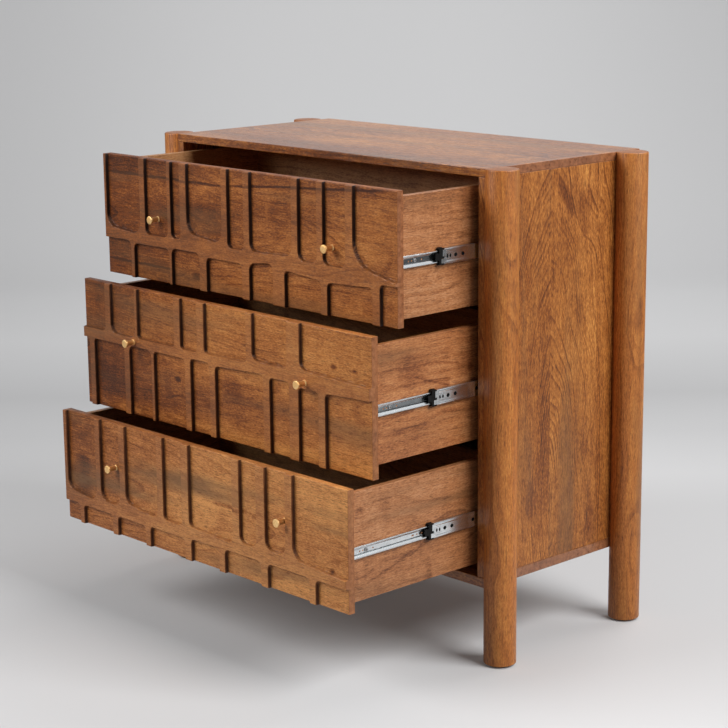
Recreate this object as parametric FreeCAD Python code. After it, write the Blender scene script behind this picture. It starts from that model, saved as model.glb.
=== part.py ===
"""Chest of three drawers with round corner posts, carved block fronts and ball bearing slides.

The chest stands on the floor at z = 0, with +X to the right of someone facing it and +Y to its back.
The drawers stand open, and the origin is on the floor in the middle of all that the open chest covers.
"""

import FreeCAD
import Part
import os
from collections import namedtuple

Vector = FreeCAD.Vector

# Drawer fronts, which set the size of the opening
FRONT_WIDTH = 781.0
FRONT_THICKNESS = 21.0
FRONT_STANDOUT = 6.0        # raised carving ahead of the carcass edges when a drawer is shut
FRONT_SIDE_GAP = 2.0
FRONT_GAP = 5.0             # between two fronts, and above and below them
FRONT_EDGE_ROUND = 1.5

# Carving of the fronts
RELIEF_DEPTH = 6.5
RIB_WIDTH = 16.0
FIELD_CORNER = 9.0
END_FIELD_CORNER = 30.0     # the wide sweep at the foot of the last upper field

# Carcass boards
SIDE_THICKNESS = 18.0
TOP_THICKNESS = 15.0
BOTTOM_THICKNESS = 18.0
BACK_THICKNESS = 6.0
BACK_RABBET = 7.0           # how far the back panel reaches into the boards around it
BACK_PLAY = 0.5
REAR_ROOM = 27.0            # between a shut drawer's box and the back panel

# Corner posts and feet
LEG_HEIGHT = 137.0          # floor to the underside of the bottom panel
POST_DIAMETER = 57.0
POST_OUTSET = 18.0          # post axis outside the side panel's outer face
POST_STANDOUT = 9.0         # front posts ahead of the carcass edges
POST_REAR_SETBACK = 14.0    # rear posts ahead of the carcass back
POST_RIM_ROUND = 2.0
GLIDE_DIAMETER = 46.0
GLIDE_THICKNESS = 3.0
GLIDE_PIN_DIAMETER = 5.0
GLIDE_PIN_LENGTH = 14.0

# Drawer boxes
BOX_WALL = 12.0
BOX_BOTTOM = 6.0
BOX_BOTTOM_RISE = 10.0      # drawer bottom above the lower edge of the drawer sides
GROOVE_DEPTH = 6.0
GROOVE_PLAY = 0.3

# Slides, between the side panels and the drawer boxes
SLIDE_ROOM = 12.7
SLIDE_LENGTH = 350.0
SLIDE_SETBACK = 1.0         # cabinet member behind the back of a shut front
CABINET_HEIGHT = 35.0
CABINET_WALL = 1.2
CABINET_CLEAR = 3.2         # cabinet member from the drawer box
MIDDLE_SHORTFALL = 25.0     # middle member shorter than the other two
MIDDLE_WALL = 1.0
MIDDLE_CLEAR = 0.5          # middle member from the web of the drawer member
DRAWER_MEMBER_WALL = 1.2
DRAWER_MEMBER_LIP = 2.4
LIP_CLEAR = 0.8             # lips that keep the balls in, from the member inside them
END_CAP_LENGTH = 20.0
END_CAP_WALL = 1.6
END_CAP_GAP = 1.0           # cap behind the back of a shut front

# Balls and their cages inside the slides
BALL_ROOM = 2.4             # between the flanges of two members
BALL_PLAY = 0.05
BALLS_PER_ROW = 5
CAGE_WALL = 0.8
CAGE_GAP = 0.6              # cage web from the web behind it
CAGE_WEB_CLEAR = 0.8        # cage web from the middle member's web
CAGE_TIP_CLEAR = 0.2        # cage web from the drawer member's lips
CAGE_LENGTH = 110.0
CAGE_PLAY = 0.4             # cage flange ends from the lips that keep the balls in
CAGE_HOLE_PLAY = 0.15
OUTER_CAGE_INSET = 126.0    # from the rear end of the cabinet member, with the drawer shut
INNER_CAGE_INSET = 115.0    # from the rear end of the drawer member, with the drawer shut

# Knobs
KNOB_INSET = 155.0          # from each end of a front
KNOB_LENGTH = 21.0
KNOB_FACE_DIAMETER = 15.0
KNOB_FACE_THICKNESS = 3.5
KNOB_FACE_ROUND = 1.0
KNOB_NECK_DIAMETER = 9.5
KNOB_BASE_DIAMETER = 11.0
KNOB_BASE_THICKNESS = 2.0
KNOB_SCREW_DIAMETER = 4.0
KNOB_SCREW_GRIP = 10.0
KNOB_SCREW_HEAD_DIAMETER = 8.0
KNOB_SCREW_HEAD_THICKNESS = 2.5

# Dowels and screws
FASTENER_PLAY = 0.05
DOWEL_DIAMETER = 8.0
DOWEL_LENGTH = 30.0
DOWEL_IN_PANEL = 9.0
DOWELS_PER_JOINT = 3
DOWEL_END_INSET = 60.0
BOX_DOWEL_DIAMETER = 6.0
BOX_DOWEL_LENGTH = 28.0
BOX_DOWEL_IN_FRONT = 8.0
BOX_DOWELS_PER_JOINT = 3
BOX_DOWEL_INSET = 30.0
POST_BOLT_DIAMETER = 6.0
POST_BOLT_GRIP = 24.0       # bolt length inside the post
POST_BOLT_HEAD_DIAMETER = 12.0
POST_BOLT_HEAD_THICKNESS = 2.5
POST_BOLT_END_INSET = 45.0  # outermost bolts from the top and bottom panels
SLIDE_SCREW_DIAMETER = 3.5
SLIDE_SCREW_LENGTH = 10.0
SLIDE_SCREW_HEAD_DIAMETER = 6.5
SLIDE_SCREW_HEAD_THICKNESS = 1.4
SLIDE_SCREWS = 3
SLIDE_SCREW_INSET = 34.0
MIDDLE_HOLE_DIAMETER = 9.0
BACK_SCREW_DIAMETER = 3.0
BACK_SCREW_LENGTH = 16.0
BACK_SCREW_HEAD_DIAMETER = 6.0
BACK_SCREW_HEAD_THICKNESS = 1.2
BACK_SCREWS_PER_SIDE = 4
BACK_SCREW_INSET = 50.0

# One drawer. Drops are measured down from the top of its front, and the left walls of the carved fields
# in the upper and lower row are measured from the left end of the front.
Drawer = namedtuple(
    "Drawer",
    "name height open_by middle_open side_drop side_rise slide_drop knob_drop band_top band_foot upper lower",
)
BOTTOM_DRAWER = Drawer(
    name="bottom",
    height=211.0,
    open_by=302.0,
    middle_open=139.0,
    side_drop=11.0,
    side_rise=13.0,
    slide_drop=112.0,
    knob_drop=84.0,
    band_top=151.0,
    band_foot=170.0,
    upper=(10.0, 114.0, 190.0, 302.0, 375.0, 514.0, 581.0, 651.0),
    lower=(58.0, 164.0, 262.0, 380.0, 473.0, 587.0, 708.0),
)
MIDDLE_DRAWER = Drawer(
    name="middle",
    height=238.0,
    open_by=246.0,
    middle_open=131.0,
    side_drop=18.0,
    side_rise=20.0,
    slide_drop=125.0,
    knob_drop=99.0,
    band_top=88.0,
    band_foot=108.0,
    upper=(86.0, 167.0, 293.0, 360.0, 490.0, 612.0),
    lower=(33.0, 141.0, 214.0, 320.0, 389.0, 535.0, 609.0, 675.0),
)
TOP_DRAWER = Drawer(
    name="top",
    height=225.0,
    open_by=187.0,
    middle_open=113.0,
    side_drop=11.0,
    side_rise=11.0,
    slide_drop=119.0,
    knob_drop=109.0,
    band_top=138.0,
    band_foot=160.0,
    upper=(7.0, 124.0, 200.0, 246.0, 360.0, 420.0, 546.0, 609.0, 682.0),
    lower=(88.0, 200.0, 300.0, 418.0, 511.0, 619.0, 746.0),
)
DRAWERS = (BOTTOM_DRAWER, MIDDLE_DRAWER, TOP_DRAWER)

# Places that follow from the sizes above
INNER_X = FRONT_WIDTH / 2 + FRONT_SIDE_GAP
OUTER_X = INNER_X + SIDE_THICKNESS
POST_RADIUS = POST_DIAMETER / 2
POST_X = OUTER_X + POST_OUTSET
BOX_X = INNER_X - SLIDE_ROOM
BOX_LENGTH = SLIDE_LENGTH                       # a drawer box is as long as its slides
SHUT_BACK = FRONT_THICKNESS - FRONT_STANDOUT    # back of a shut front behind the carcass edges
CARCASS_DEPTH = SHUT_BACK + BOX_LENGTH + REAR_ROOM + BACK_THICKNESS
FRONT_REACH = BOTTOM_DRAWER.open_by + FRONT_STANDOUT + KNOB_LENGTH - RELIEF_DEPTH
EDGE_Y = (FRONT_REACH - CARCASS_DEPTH) / 2      # front edges of the carcass
REAR_Y = EDGE_Y + CARCASS_DEPTH
BACK_Y = REAR_Y - BACK_THICKNESS
POST_FRONT_Y = EDGE_Y - POST_STANDOUT + POST_RADIUS
POST_REAR_Y = REAR_Y - POST_REAR_SETBACK - POST_RADIUS
FLOOR_Z = LEG_HEIGHT + BOTTOM_THICKNESS         # upper face of the bottom panel
CEILING_Z = FLOOR_Z + FRONT_GAP + sum(drawer.height + FRONT_GAP for drawer in DRAWERS)
TOP_Z = CEILING_Z + TOP_THICKNESS
LEFT, RIGHT = -1, 1

# Outlines of the slide members, measured across from the side panel and up from the middle of the slide
CABINET_REACH = SLIDE_ROOM - CABINET_CLEAR
CABINET_LIP = CABINET_WALL + BALL_ROOM - LIP_CLEAR
OUTER_CAGE_WEB = CABINET_WALL + CAGE_GAP
MIDDLE_LENGTH = SLIDE_LENGTH - MIDDLE_SHORTFALL
MIDDLE_HEIGHT = CABINET_HEIGHT - 2 * (CABINET_WALL + BALL_ROOM)
MIDDLE_START = OUTER_CAGE_WEB + CAGE_WALL + CAGE_WEB_CLEAR
MIDDLE_REACH = SLIDE_ROOM - DRAWER_MEMBER_WALL - MIDDLE_CLEAR
MIDDLE_LIP = MIDDLE_WALL + BALL_ROOM - LIP_CLEAR
INNER_CAGE_WEB = MIDDLE_START + MIDDLE_WALL + CAGE_GAP
DRAWER_MEMBER_HEIGHT = MIDDLE_HEIGHT - 2 * (MIDDLE_WALL + BALL_ROOM)
DRAWER_MEMBER_TIP = INNER_CAGE_WEB + CAGE_WALL + CAGE_TIP_CLEAR


def box(low, high):
    """Block between two corners."""
    return Part.makeBox(high[0] - low[0], high[1] - low[1], high[2] - low[2], Vector(*low))


def rod(radius, start, end):
    """Round bar from one point to another."""
    start = Vector(*start)
    run = Vector(*end) - start
    return Part.makeCylinder(radius, run.Length, start, run)


def spread(first, last, count):
    """Evenly spaced places from the first to the last."""
    return [first + (last - first) * step / (count - 1) for step in range(count)]


def cut(shape, tools):
    """Shape with all tools taken out of it."""
    return shape.cut(tools) if tools else shape


def front_foot(drawer):
    """Height of the lower edge of a drawer's front."""
    below = DRAWERS[:DRAWERS.index(drawer)]
    return FLOOR_Z + FRONT_GAP + sum(other.height + FRONT_GAP for other in below)


def front_head(drawer):
    """Height of the upper edge of a drawer's front."""
    return front_foot(drawer) + drawer.height


def front_back(drawer):
    """Place of the back face of a drawer's front, with the drawer as it stands open."""
    return EDGE_Y + SHUT_BACK - drawer.open_by


def slide_height(drawer):
    """Height of the middle of a drawer's slides."""
    return front_head(drawer) - drawer.slide_drop


def side_span(drawer):
    """Lower and upper edge of a drawer's sides."""
    return front_foot(drawer) + drawer.side_rise, front_head(drawer) - drawer.side_drop


# Carcass

def dowel_rows():
    """Places of the dowels between the side panels and the top and bottom panels."""
    depths = spread(EDGE_Y + DOWEL_END_INSET, REAR_Y - DOWEL_END_INSET, DOWELS_PER_JOINT)
    middle = INNER_X + SIDE_THICKNESS / 2
    rows = []
    for side in (LEFT, RIGHT):
        for depth in depths:
            high = CEILING_Z + DOWEL_IN_PANEL
            low = FLOOR_Z - DOWEL_IN_PANEL
            rows.append(((side * middle, depth, high - DOWEL_LENGTH), (side * middle, depth, high)))
            rows.append(((side * middle, depth, low), (side * middle, depth, low + DOWEL_LENGTH)))
    return rows


def carcass_dowels(radius):
    """Dowels of the carcass joints, or the holes for them."""
    return [rod(radius, start, end) for start, end in dowel_rows()]


def bolt_heights():
    """Heights of the bolts in one post, clear of the slides between them."""
    slides = [slide_height(drawer) for drawer in DRAWERS]
    between = [(low + high) / 2 for low, high in zip(slides, slides[1:])]
    return [FLOOR_Z + POST_BOLT_END_INSET, *between, CEILING_Z - POST_BOLT_END_INSET]


def post_bolts(play):
    """Bolts from inside the side panels into the posts, heads flush, or the holes for them."""
    bolts = []
    for side in (LEFT, RIGHT):
        for depth in (POST_FRONT_Y, POST_REAR_Y):
            for height in bolt_heights():
                crown = (side * INNER_X, depth, height)
                neck = (side * (INNER_X + POST_BOLT_HEAD_THICKNESS), depth, height)
                tip = (side * (OUTER_X + POST_BOLT_GRIP + play), depth, height)
                shank = rod(POST_BOLT_DIAMETER / 2 + play, neck, tip)
                bolts.append(shank.fuse(rod(POST_BOLT_HEAD_DIAMETER / 2 + play, crown, neck)))
    return bolts


def back_screws(play):
    """Screws through the back panel into the side panels, or the holes for them."""
    screws = []
    middle = INNER_X + BACK_RABBET / 2
    for side in (LEFT, RIGHT):
        for height in spread(FLOOR_Z + BACK_SCREW_INSET, CEILING_Z - BACK_SCREW_INSET, BACK_SCREWS_PER_SIDE):
            tip = (side * middle, REAR_Y - BACK_SCREW_LENGTH - play, height)
            neck = (side * middle, REAR_Y - BACK_SCREW_HEAD_THICKNESS, height)
            crown = (side * middle, REAR_Y, height)
            shank = rod(BACK_SCREW_DIAMETER / 2 + play, tip, neck)
            screws.append(shank.fuse(rod(BACK_SCREW_HEAD_DIAMETER / 2 + play, neck, crown)))
    return screws


def back_space(play):
    """Room in the boards' rear edges that the back panel fits into."""
    reach = INNER_X + BACK_RABBET - play
    return box(
        (-reach, BACK_Y, FLOOR_Z - BACK_RABBET + play),
        (reach, REAR_Y, CEILING_Z + BACK_RABBET - play),
    )


def level_panel(low, high):
    """Top or bottom panel of the carcass."""
    board = box((-OUTER_X, EDGE_Y, low), (OUTER_X, REAR_Y, high))
    return cut(board, [back_space(0)] + carcass_dowels(DOWEL_DIAMETER / 2 + FASTENER_PLAY))


def side_panel(side):
    """Side panel between the top and bottom panels."""
    near, far = sorted((side * INNER_X, side * OUTER_X))
    board = box((near, EDGE_Y, FLOOR_Z), (far, REAR_Y, CEILING_Z))
    holes = [back_space(0)] + carcass_dowels(DOWEL_DIAMETER / 2 + FASTENER_PLAY)
    holes += post_bolts(FASTENER_PLAY) + back_screws(FASTENER_PLAY)
    for drawer in DRAWERS:
        holes += cabinet_screws(drawer, FASTENER_PLAY)
    return cut(board, holes)


def back_panel():
    """Thin back panel in the rabbets of the boards."""
    return cut(back_space(BACK_PLAY), back_screws(FASTENER_PLAY))


def glide_pin(side, depth, play):
    """Pin of a foot glide, or the hole for it."""
    foot = (side * POST_X, depth, GLIDE_THICKNESS)
    tip = (side * POST_X, depth, GLIDE_THICKNESS + GLIDE_PIN_LENGTH + play)
    return rod(GLIDE_PIN_DIAMETER / 2 + play, foot, tip)


def post(side, depth):
    """Round corner post, cut away where the carcass sits in it and on its shoulder."""
    shaft = rod(POST_RADIUS, (side * POST_X, depth, GLIDE_THICKNESS), (side * POST_X, depth, TOP_Z))
    rims = [edge for edge in shaft.Edges if edge.Closed]
    shaft = shaft.makeFillet(POST_RIM_ROUND, rims)
    carcass = box((-OUTER_X, EDGE_Y, LEG_HEIGHT), (OUTER_X, REAR_Y, TOP_Z + POST_DIAMETER))
    return cut(shaft, [carcass, glide_pin(side, depth, FASTENER_PLAY)] + post_bolts(FASTENER_PLAY))


def foot_glides():
    """Hard pads with pins under the four posts."""
    glides = []
    for side in (LEFT, RIGHT):
        for depth in (POST_FRONT_Y, POST_REAR_Y):
            pad = rod(GLIDE_DIAMETER / 2, (side * POST_X, depth, 0), (side * POST_X, depth, GLIDE_THICKNESS))
            glides.append(pad.fuse(glide_pin(side, depth, 0)))
    return glides


# Slides

def slide_bar(side, drawer, outline, start, length):
    """Bar of a slide with an outline of places across the slide and heights, run along the drawer."""
    height = slide_height(drawer)
    points = [Vector(side * (INNER_X - across), start, height + rise) for across, rise in outline]
    face = Part.Face(Part.makePolygon(points + points[:1]))
    return face.extrude(Vector(0, length, 0))


def channel(web, tip, height, wall, lip):
    """Outline of a channel from the outside of its web to the tips of its turned-in lips."""
    way = 1 if tip > web else -1
    half = height / 2
    inside, neck = web + way * wall, tip - way * wall
    lower = [(web, -half), (tip, -half), (tip, lip - half), (neck, lip - half), (neck, wall - half)]
    lower.append((inside, wall - half))
    return lower + [(across, -rise) for across, rise in reversed(lower)]


def slide_screw_places(start, length):
    """Places along a slide member where it is screwed on."""
    return spread(start + SLIDE_SCREW_INSET, start + length - SLIDE_SCREW_INSET, SLIDE_SCREWS)


def cabinet_start():
    """Front end of the cabinet members."""
    return EDGE_Y + SHUT_BACK + SLIDE_SETBACK


def cabinet_screws(drawer, play):
    """Flush screws of the cabinet members of one drawer, or the holes for them."""
    screws = []
    height = slide_height(drawer)
    for side in (LEFT, RIGHT):
        for place in slide_screw_places(cabinet_start(), SLIDE_LENGTH):
            crown = (side * (INNER_X - CABINET_WALL), place, height)
            neck = (side * INNER_X, place, height)
            tip = (side * (INNER_X + SLIDE_SCREW_LENGTH + play), place, height)
            shank = rod(SLIDE_SCREW_DIAMETER / 2 + play, neck, tip)
            screws.append(shank.fuse(rod(SLIDE_SCREW_HEAD_DIAMETER / 2 + play, crown, neck)))
    return screws


def cabinet_members(drawer):
    """Slide members on the side panels."""
    outline = channel(0, CABINET_REACH, CABINET_HEIGHT, CABINET_WALL, CABINET_LIP)
    holes = cabinet_screws(drawer, FASTENER_PLAY)
    return [
        cut(slide_bar(side, drawer, outline, cabinet_start(), SLIDE_LENGTH), holes) for side in (LEFT, RIGHT)
    ]


def middle_start(drawer):
    """Front end of a drawer's middle slide members, as they stand open."""
    return EDGE_Y + SHUT_BACK + END_CAP_GAP + END_CAP_LENGTH - drawer.middle_open


def middle_members(drawer):
    """Slide members that run between the cabinet and drawer members."""
    outline = channel(MIDDLE_START, MIDDLE_REACH, MIDDLE_HEIGHT, MIDDLE_WALL, MIDDLE_LIP)
    height = slide_height(drawer)
    members = []
    for side in (LEFT, RIGHT):
        bar = slide_bar(side, drawer, outline, middle_start(drawer), MIDDLE_LENGTH)
        holes = [
            rod(MIDDLE_HOLE_DIAMETER / 2, (0, place, height), (side * OUTER_X, place, height))
            for place in slide_screw_places(middle_start(drawer), MIDDLE_LENGTH)
        ]
        members.append(cut(bar, holes))
    return members


def end_caps(drawer):
    """Plastic caps on the front ends of the middle members."""
    outline = channel(MIDDLE_START, MIDDLE_REACH, MIDDLE_HEIGHT, END_CAP_WALL, MIDDLE_LIP)
    start = middle_start(drawer) - END_CAP_LENGTH
    return [slide_bar(side, drawer, outline, start, END_CAP_LENGTH) for side in (LEFT, RIGHT)]


def drawer_screws(drawer, play):
    """Screws of the drawer members, or the holes for them."""
    screws = []
    height = slide_height(drawer)
    seat = BOX_X + DRAWER_MEMBER_WALL
    for side in (LEFT, RIGHT):
        for place in slide_screw_places(front_back(drawer), SLIDE_LENGTH):
            crown = (side * (seat + SLIDE_SCREW_HEAD_THICKNESS), place, height)
            tip = (side * (BOX_X - SLIDE_SCREW_LENGTH - play), place, height)
            shank = rod(SLIDE_SCREW_DIAMETER / 2 + play, tip, (side * seat, place, height))
            screws.append(shank.fuse(rod(SLIDE_SCREW_HEAD_DIAMETER / 2, (side * seat, place, height), crown)))
    return screws


def drawer_members(drawer):
    """Slide members on the drawer sides."""
    outline = channel(
        SLIDE_ROOM, DRAWER_MEMBER_TIP, DRAWER_MEMBER_HEIGHT, DRAWER_MEMBER_WALL, DRAWER_MEMBER_LIP,
    )
    holes = drawer_screws(drawer, FASTENER_PLAY)
    return [
        cut(slide_bar(side, drawer, outline, front_back(drawer), SLIDE_LENGTH), holes) for side in (LEFT, RIGHT)
    ]


def ball_cages(drawer, start, web, lip_face, inner_half, outer_half):
    """Cages with two rows of balls between two slide members.

    The web stands at a place across the slide, the flanges stop short of the face of the lips, and the
    balls fill the room between the half heights of the two members.
    """
    height = slide_height(drawer)
    middle = (inner_half + outer_half) / 2
    radius = (outer_half - inner_half) / 2 - BALL_PLAY
    reach = lip_face - CAGE_PLAY
    across = reach - radius - CAGE_PLAY
    half = middle + CAGE_WALL / 2
    outline = [
        (web, -half), (reach, -half), (reach, CAGE_WALL - half), (web + CAGE_WALL, CAGE_WALL - half),
        (web + CAGE_WALL, half - CAGE_WALL), (reach, half - CAGE_WALL), (reach, half), (web, half),
    ]
    pieces = []
    for side in (LEFT, RIGHT):
        places = spread(start + radius + CAGE_WALL, start + CAGE_LENGTH - radius - CAGE_WALL, BALLS_PER_ROW)
        x = side * (INNER_X - across)
        holes = [
            rod(radius + CAGE_HOLE_PLAY, (x, place, height - outer_half), (x, place, height + outer_half))
            for place in places
        ]
        pieces.append(cut(slide_bar(side, drawer, outline, start, CAGE_LENGTH), holes))
        for place in places:
            for row in (-middle, middle):
                pieces.append(Part.makeSphere(radius, Vector(x, place, height + row)))
    return pieces


def outer_cages(drawer):
    """Ball cages between the cabinet and middle members, which go half as far as the middle members."""
    shut = cabinet_start() + SLIDE_LENGTH - OUTER_CAGE_INSET - CAGE_LENGTH
    return ball_cages(
        drawer, shut - drawer.middle_open / 2, OUTER_CAGE_WEB, CABINET_REACH - CABINET_WALL,
        MIDDLE_HEIGHT / 2, CABINET_HEIGHT / 2 - CABINET_WALL,
    )


def inner_cages(drawer):
    """Ball cages between the middle and drawer members, which go half as far as both together."""
    shut = EDGE_Y + SHUT_BACK + SLIDE_LENGTH - INNER_CAGE_INSET - CAGE_LENGTH
    return ball_cages(
        drawer, shut - (drawer.middle_open + drawer.open_by) / 2, INNER_CAGE_WEB, MIDDLE_REACH - MIDDLE_WALL,
        DRAWER_MEMBER_HEIGHT / 2, MIDDLE_HEIGHT / 2 - MIDDLE_WALL,
    )


# Drawers

def field(left, right, low, high, corners, depth):
    """Cutter for one carved field, with rounded corners given as (upper, left): radius."""
    face_y = depth - RELIEF_DEPTH
    block = box((left, face_y - RELIEF_DEPTH, low), (right, depth, high))
    for (upper, at_left), radius in corners.items():
        x = left if at_left else right
        z = high if upper else low
        edges = [
            edge for edge in block.Edges
            if all(abs(end.X - x) < FASTENER_PLAY and abs(end.Z - z) < FASTENER_PLAY for end in edge.Vertexes)
        ]
        block = block.makeFillet(radius, edges)
    return block


def field_spans(walls):
    """Left and right limits of the fields of one row, measured from the left end of the front.

    The first field is open at the left end, unless the first wall stands so near it that only a rib is left,
    and the last field is open at the right end.
    """
    starts = [wall for wall in walls if wall < FRONT_WIDTH]
    if starts[0] > RIB_WIDTH:
        starts.insert(0, -RIB_WIDTH)
    ends = [wall - RIB_WIDTH for wall in starts[1:]] + [FRONT_WIDTH + RIB_WIDTH]
    return list(zip(starts, ends))


def carved_fields(drawer):
    """Cutters for the upper and lower row of carved fields of a front."""
    head = front_head(drawer)
    floor = front_back(drawer) - FRONT_THICKNESS + RELIEF_DEPTH
    left_end = -FRONT_WIDTH / 2
    cutters = []
    for upper, walls in ((True, drawer.upper), (False, drawer.lower)):
        low = head - drawer.band_top if upper else front_foot(drawer) - RIB_WIDTH
        high = head + RIB_WIDTH if upper else head - drawer.band_foot
        for left, right in field_spans(walls):
            room = min(right - left, high - low) / 2 - FASTENER_PLAY
            corners = {}
            if left > 0:
                wide = upper and right > FRONT_WIDTH
                corners[(not upper, True)] = min(END_FIELD_CORNER if wide else FIELD_CORNER, room)
            if right < FRONT_WIDTH:
                corners[(not upper, False)] = min(FIELD_CORNER, room)
            cutters.append(field(left_end + left, left_end + right, low, high, corners, floor))
    return cutters


def knob_seat(drawer):
    """Place of the surface that a drawer's knobs stand on: the raised band or a field's floor."""
    raised = front_back(drawer) - FRONT_THICKNESS
    on_band = drawer.band_top < drawer.knob_drop < drawer.band_foot
    return raised if on_band else raised + RELIEF_DEPTH


def knob_places(drawer):
    """Centre of each knob across the front, and their height."""
    across = FRONT_WIDTH / 2 - KNOB_INSET
    return [(side * across, front_head(drawer) - drawer.knob_drop) for side in (LEFT, RIGHT)]


def knob_rooms(drawer):
    """Room ahead of the front for the knobs' bases, so that no rib of the carving stands in their way."""
    seat = knob_seat(drawer)
    radius = KNOB_BASE_DIAMETER / 2 + FASTENER_PLAY
    return [rod(radius, (x, seat, z), (x, seat - KNOB_LENGTH, z)) for x, z in knob_places(drawer)]


def knob_screws(drawer, play):
    """Screws from behind the front into the knobs, or the holes for them."""
    screws = []
    back = front_back(drawer)
    tip = knob_seat(drawer) - KNOB_SCREW_GRIP - play
    for x, z in knob_places(drawer):
        shank = rod(KNOB_SCREW_DIAMETER / 2 + play, (x, tip, z), (x, back, z))
        crown = rod(KNOB_SCREW_HEAD_DIAMETER / 2, (x, back, z), (x, back + KNOB_SCREW_HEAD_THICKNESS, z))
        screws.append(shank.fuse(crown))
    return screws


def knobs(drawer):
    """Turned knobs with a round face on a slim neck."""
    seat = knob_seat(drawer)
    tip = seat - KNOB_LENGTH
    shapes = []
    for x, z in knob_places(drawer):
        face = rod(KNOB_FACE_DIAMETER / 2, (x, tip, z), (x, tip + KNOB_FACE_THICKNESS, z))
        face = face.makeFillet(KNOB_FACE_ROUND, [edge for edge in face.Edges if edge.Closed])
        neck = rod(KNOB_NECK_DIAMETER / 2, (x, tip + KNOB_FACE_ROUND, z), (x, seat, z))
        base = rod(KNOB_BASE_DIAMETER / 2, (x, seat - KNOB_BASE_THICKNESS, z), (x, seat, z))
        shapes.append(cut(face.fuse([neck, base]).removeSplitter(), knob_screws(drawer, FASTENER_PLAY)))
    return shapes


def box_dowels(drawer, play):
    """Dowels that join a drawer's sides to its front and back, or the holes for them."""
    low, high = side_span(drawer)
    floor_top = low + BOX_BOTTOM_RISE + BOX_BOTTOM
    back = front_back(drawer)
    rear = back + BOX_LENGTH - BOX_WALL / 2
    radius = BOX_DOWEL_DIAMETER / 2 + play
    dowels = []
    for side in (LEFT, RIGHT):
        x = side * (BOX_X - BOX_WALL / 2)
        for z in spread(floor_top + BOX_DOWEL_INSET, high - BOX_DOWEL_INSET, BOX_DOWELS_PER_JOINT):
            start = back - BOX_DOWEL_IN_FRONT
            dowels.append(rod(radius, (x, start - play, z), (x, start + BOX_DOWEL_LENGTH + play, z)))
            inside = side * (BOX_X - BOX_DOWEL_LENGTH - play)
            dowels.append(rod(radius, (side * BOX_X, rear, z), (inside, rear, z)))
    return dowels


def floor_space(drawer, play):
    """Room for a drawer's bottom in the grooves around it."""
    low = side_span(drawer)[0] + BOX_BOTTOM_RISE
    back = front_back(drawer)
    reach = BOX_X - BOX_WALL + GROOVE_DEPTH - play
    return box(
        (-reach, back - GROOVE_DEPTH + play, low),
        (reach, back + BOX_LENGTH - BOX_WALL + GROOVE_DEPTH - play, low + BOX_BOTTOM),
    )


def drawer_front(drawer):
    """Carved front of a drawer."""
    back = front_back(drawer)
    board = box(
        (-FRONT_WIDTH / 2, back - FRONT_THICKNESS, front_foot(drawer)),
        (FRONT_WIDTH / 2, back, front_head(drawer)),
    )
    raised = back - FRONT_THICKNESS
    rim = [edge for edge in board.Edges if all(abs(end.Y - raised) < FASTENER_PLAY for end in edge.Vertexes)]
    board = board.makeFillet(FRONT_EDGE_ROUND, rim)
    carving = carved_fields(drawer) + knob_rooms(drawer)
    holes = [floor_space(drawer, 0)] + knob_screws(drawer, FASTENER_PLAY) + box_dowels(drawer, FASTENER_PLAY)
    return cut(board, carving + holes)


def drawer_side(drawer, side):
    """Side of a drawer box."""
    low, high = side_span(drawer)
    near, far = sorted((side * BOX_X, side * (BOX_X - BOX_WALL)))
    back = front_back(drawer)
    board = box((near, back, low), (far, back + BOX_LENGTH, high))
    holes = [floor_space(drawer, 0)] + box_dowels(drawer, FASTENER_PLAY)
    return cut(board, holes + drawer_screws(drawer, FASTENER_PLAY))


def drawer_back(drawer):
    """Back of a drawer box, between its sides."""
    low, high = side_span(drawer)
    rear = front_back(drawer) + BOX_LENGTH
    reach = BOX_X - BOX_WALL
    board = box((-reach, rear - BOX_WALL, low), (reach, rear, high))
    return cut(board, [floor_space(drawer, 0)] + box_dowels(drawer, FASTENER_PLAY))


def save(name, solids):
    """Writes one node of one or more solids."""
    solids = solids if isinstance(solids, list) else [solids]
    shape = solids[0] if len(solids) == 1 else Part.makeCompound(solids)
    shape.exportStep(os.path.join("parts", name + ".step"))
    print(f"{name}: {len(shape.Solids)} solids, {shape.Volume / 1000:.1f} cm3, valid {shape.isValid()}")


def save_carcass():
    """Writes the pieces of the standing carcass."""
    save("top_panel", level_panel(CEILING_Z, TOP_Z))
    save("bottom_panel", level_panel(LEG_HEIGHT, FLOOR_Z))
    save("back_panel", back_panel())
    for side, hand in ((LEFT, "left"), (RIGHT, "right")):
        save(f"side_panel_{hand}", side_panel(side))
        save(f"post_front_{hand}", post(side, POST_FRONT_Y))
        save(f"post_rear_{hand}", post(side, POST_REAR_Y))
    save("foot_glides", foot_glides())
    save("carcass_dowels", carcass_dowels(DOWEL_DIAMETER / 2))
    save("post_bolts", post_bolts(0))
    save("back_panel_screws", back_screws(0))
    save("slide_cabinet_screws", [screw for drawer in DRAWERS for screw in cabinet_screws(drawer, 0)])


def save_drawer(drawer):
    """Writes the pieces of one drawer and its slides."""
    name = drawer.name
    save(f"{name}_drawer_front", drawer_front(drawer))
    save(f"{name}_drawer_side_left", drawer_side(drawer, LEFT))
    save(f"{name}_drawer_side_right", drawer_side(drawer, RIGHT))
    save(f"{name}_drawer_back", drawer_back(drawer))
    save(f"{name}_drawer_bottom", floor_space(drawer, GROOVE_PLAY))
    save(f"{name}_drawer_dowels", box_dowels(drawer, 0))
    save(f"{name}_knobs", knobs(drawer))
    save(f"{name}_knob_screws", knob_screws(drawer, 0))
    save(f"{name}_slide_cabinet_members", cabinet_members(drawer))
    save(f"{name}_slide_outer_cages", outer_cages(drawer))
    save(f"{name}_slide_middle_members", middle_members(drawer))
    save(f"{name}_slide_end_caps", end_caps(drawer))
    save(f"{name}_slide_inner_cages", inner_cages(drawer))
    save(f"{name}_slide_drawer_members", drawer_members(drawer))
    save(f"{name}_slide_drawer_screws", drawer_screws(drawer, 0))


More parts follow.
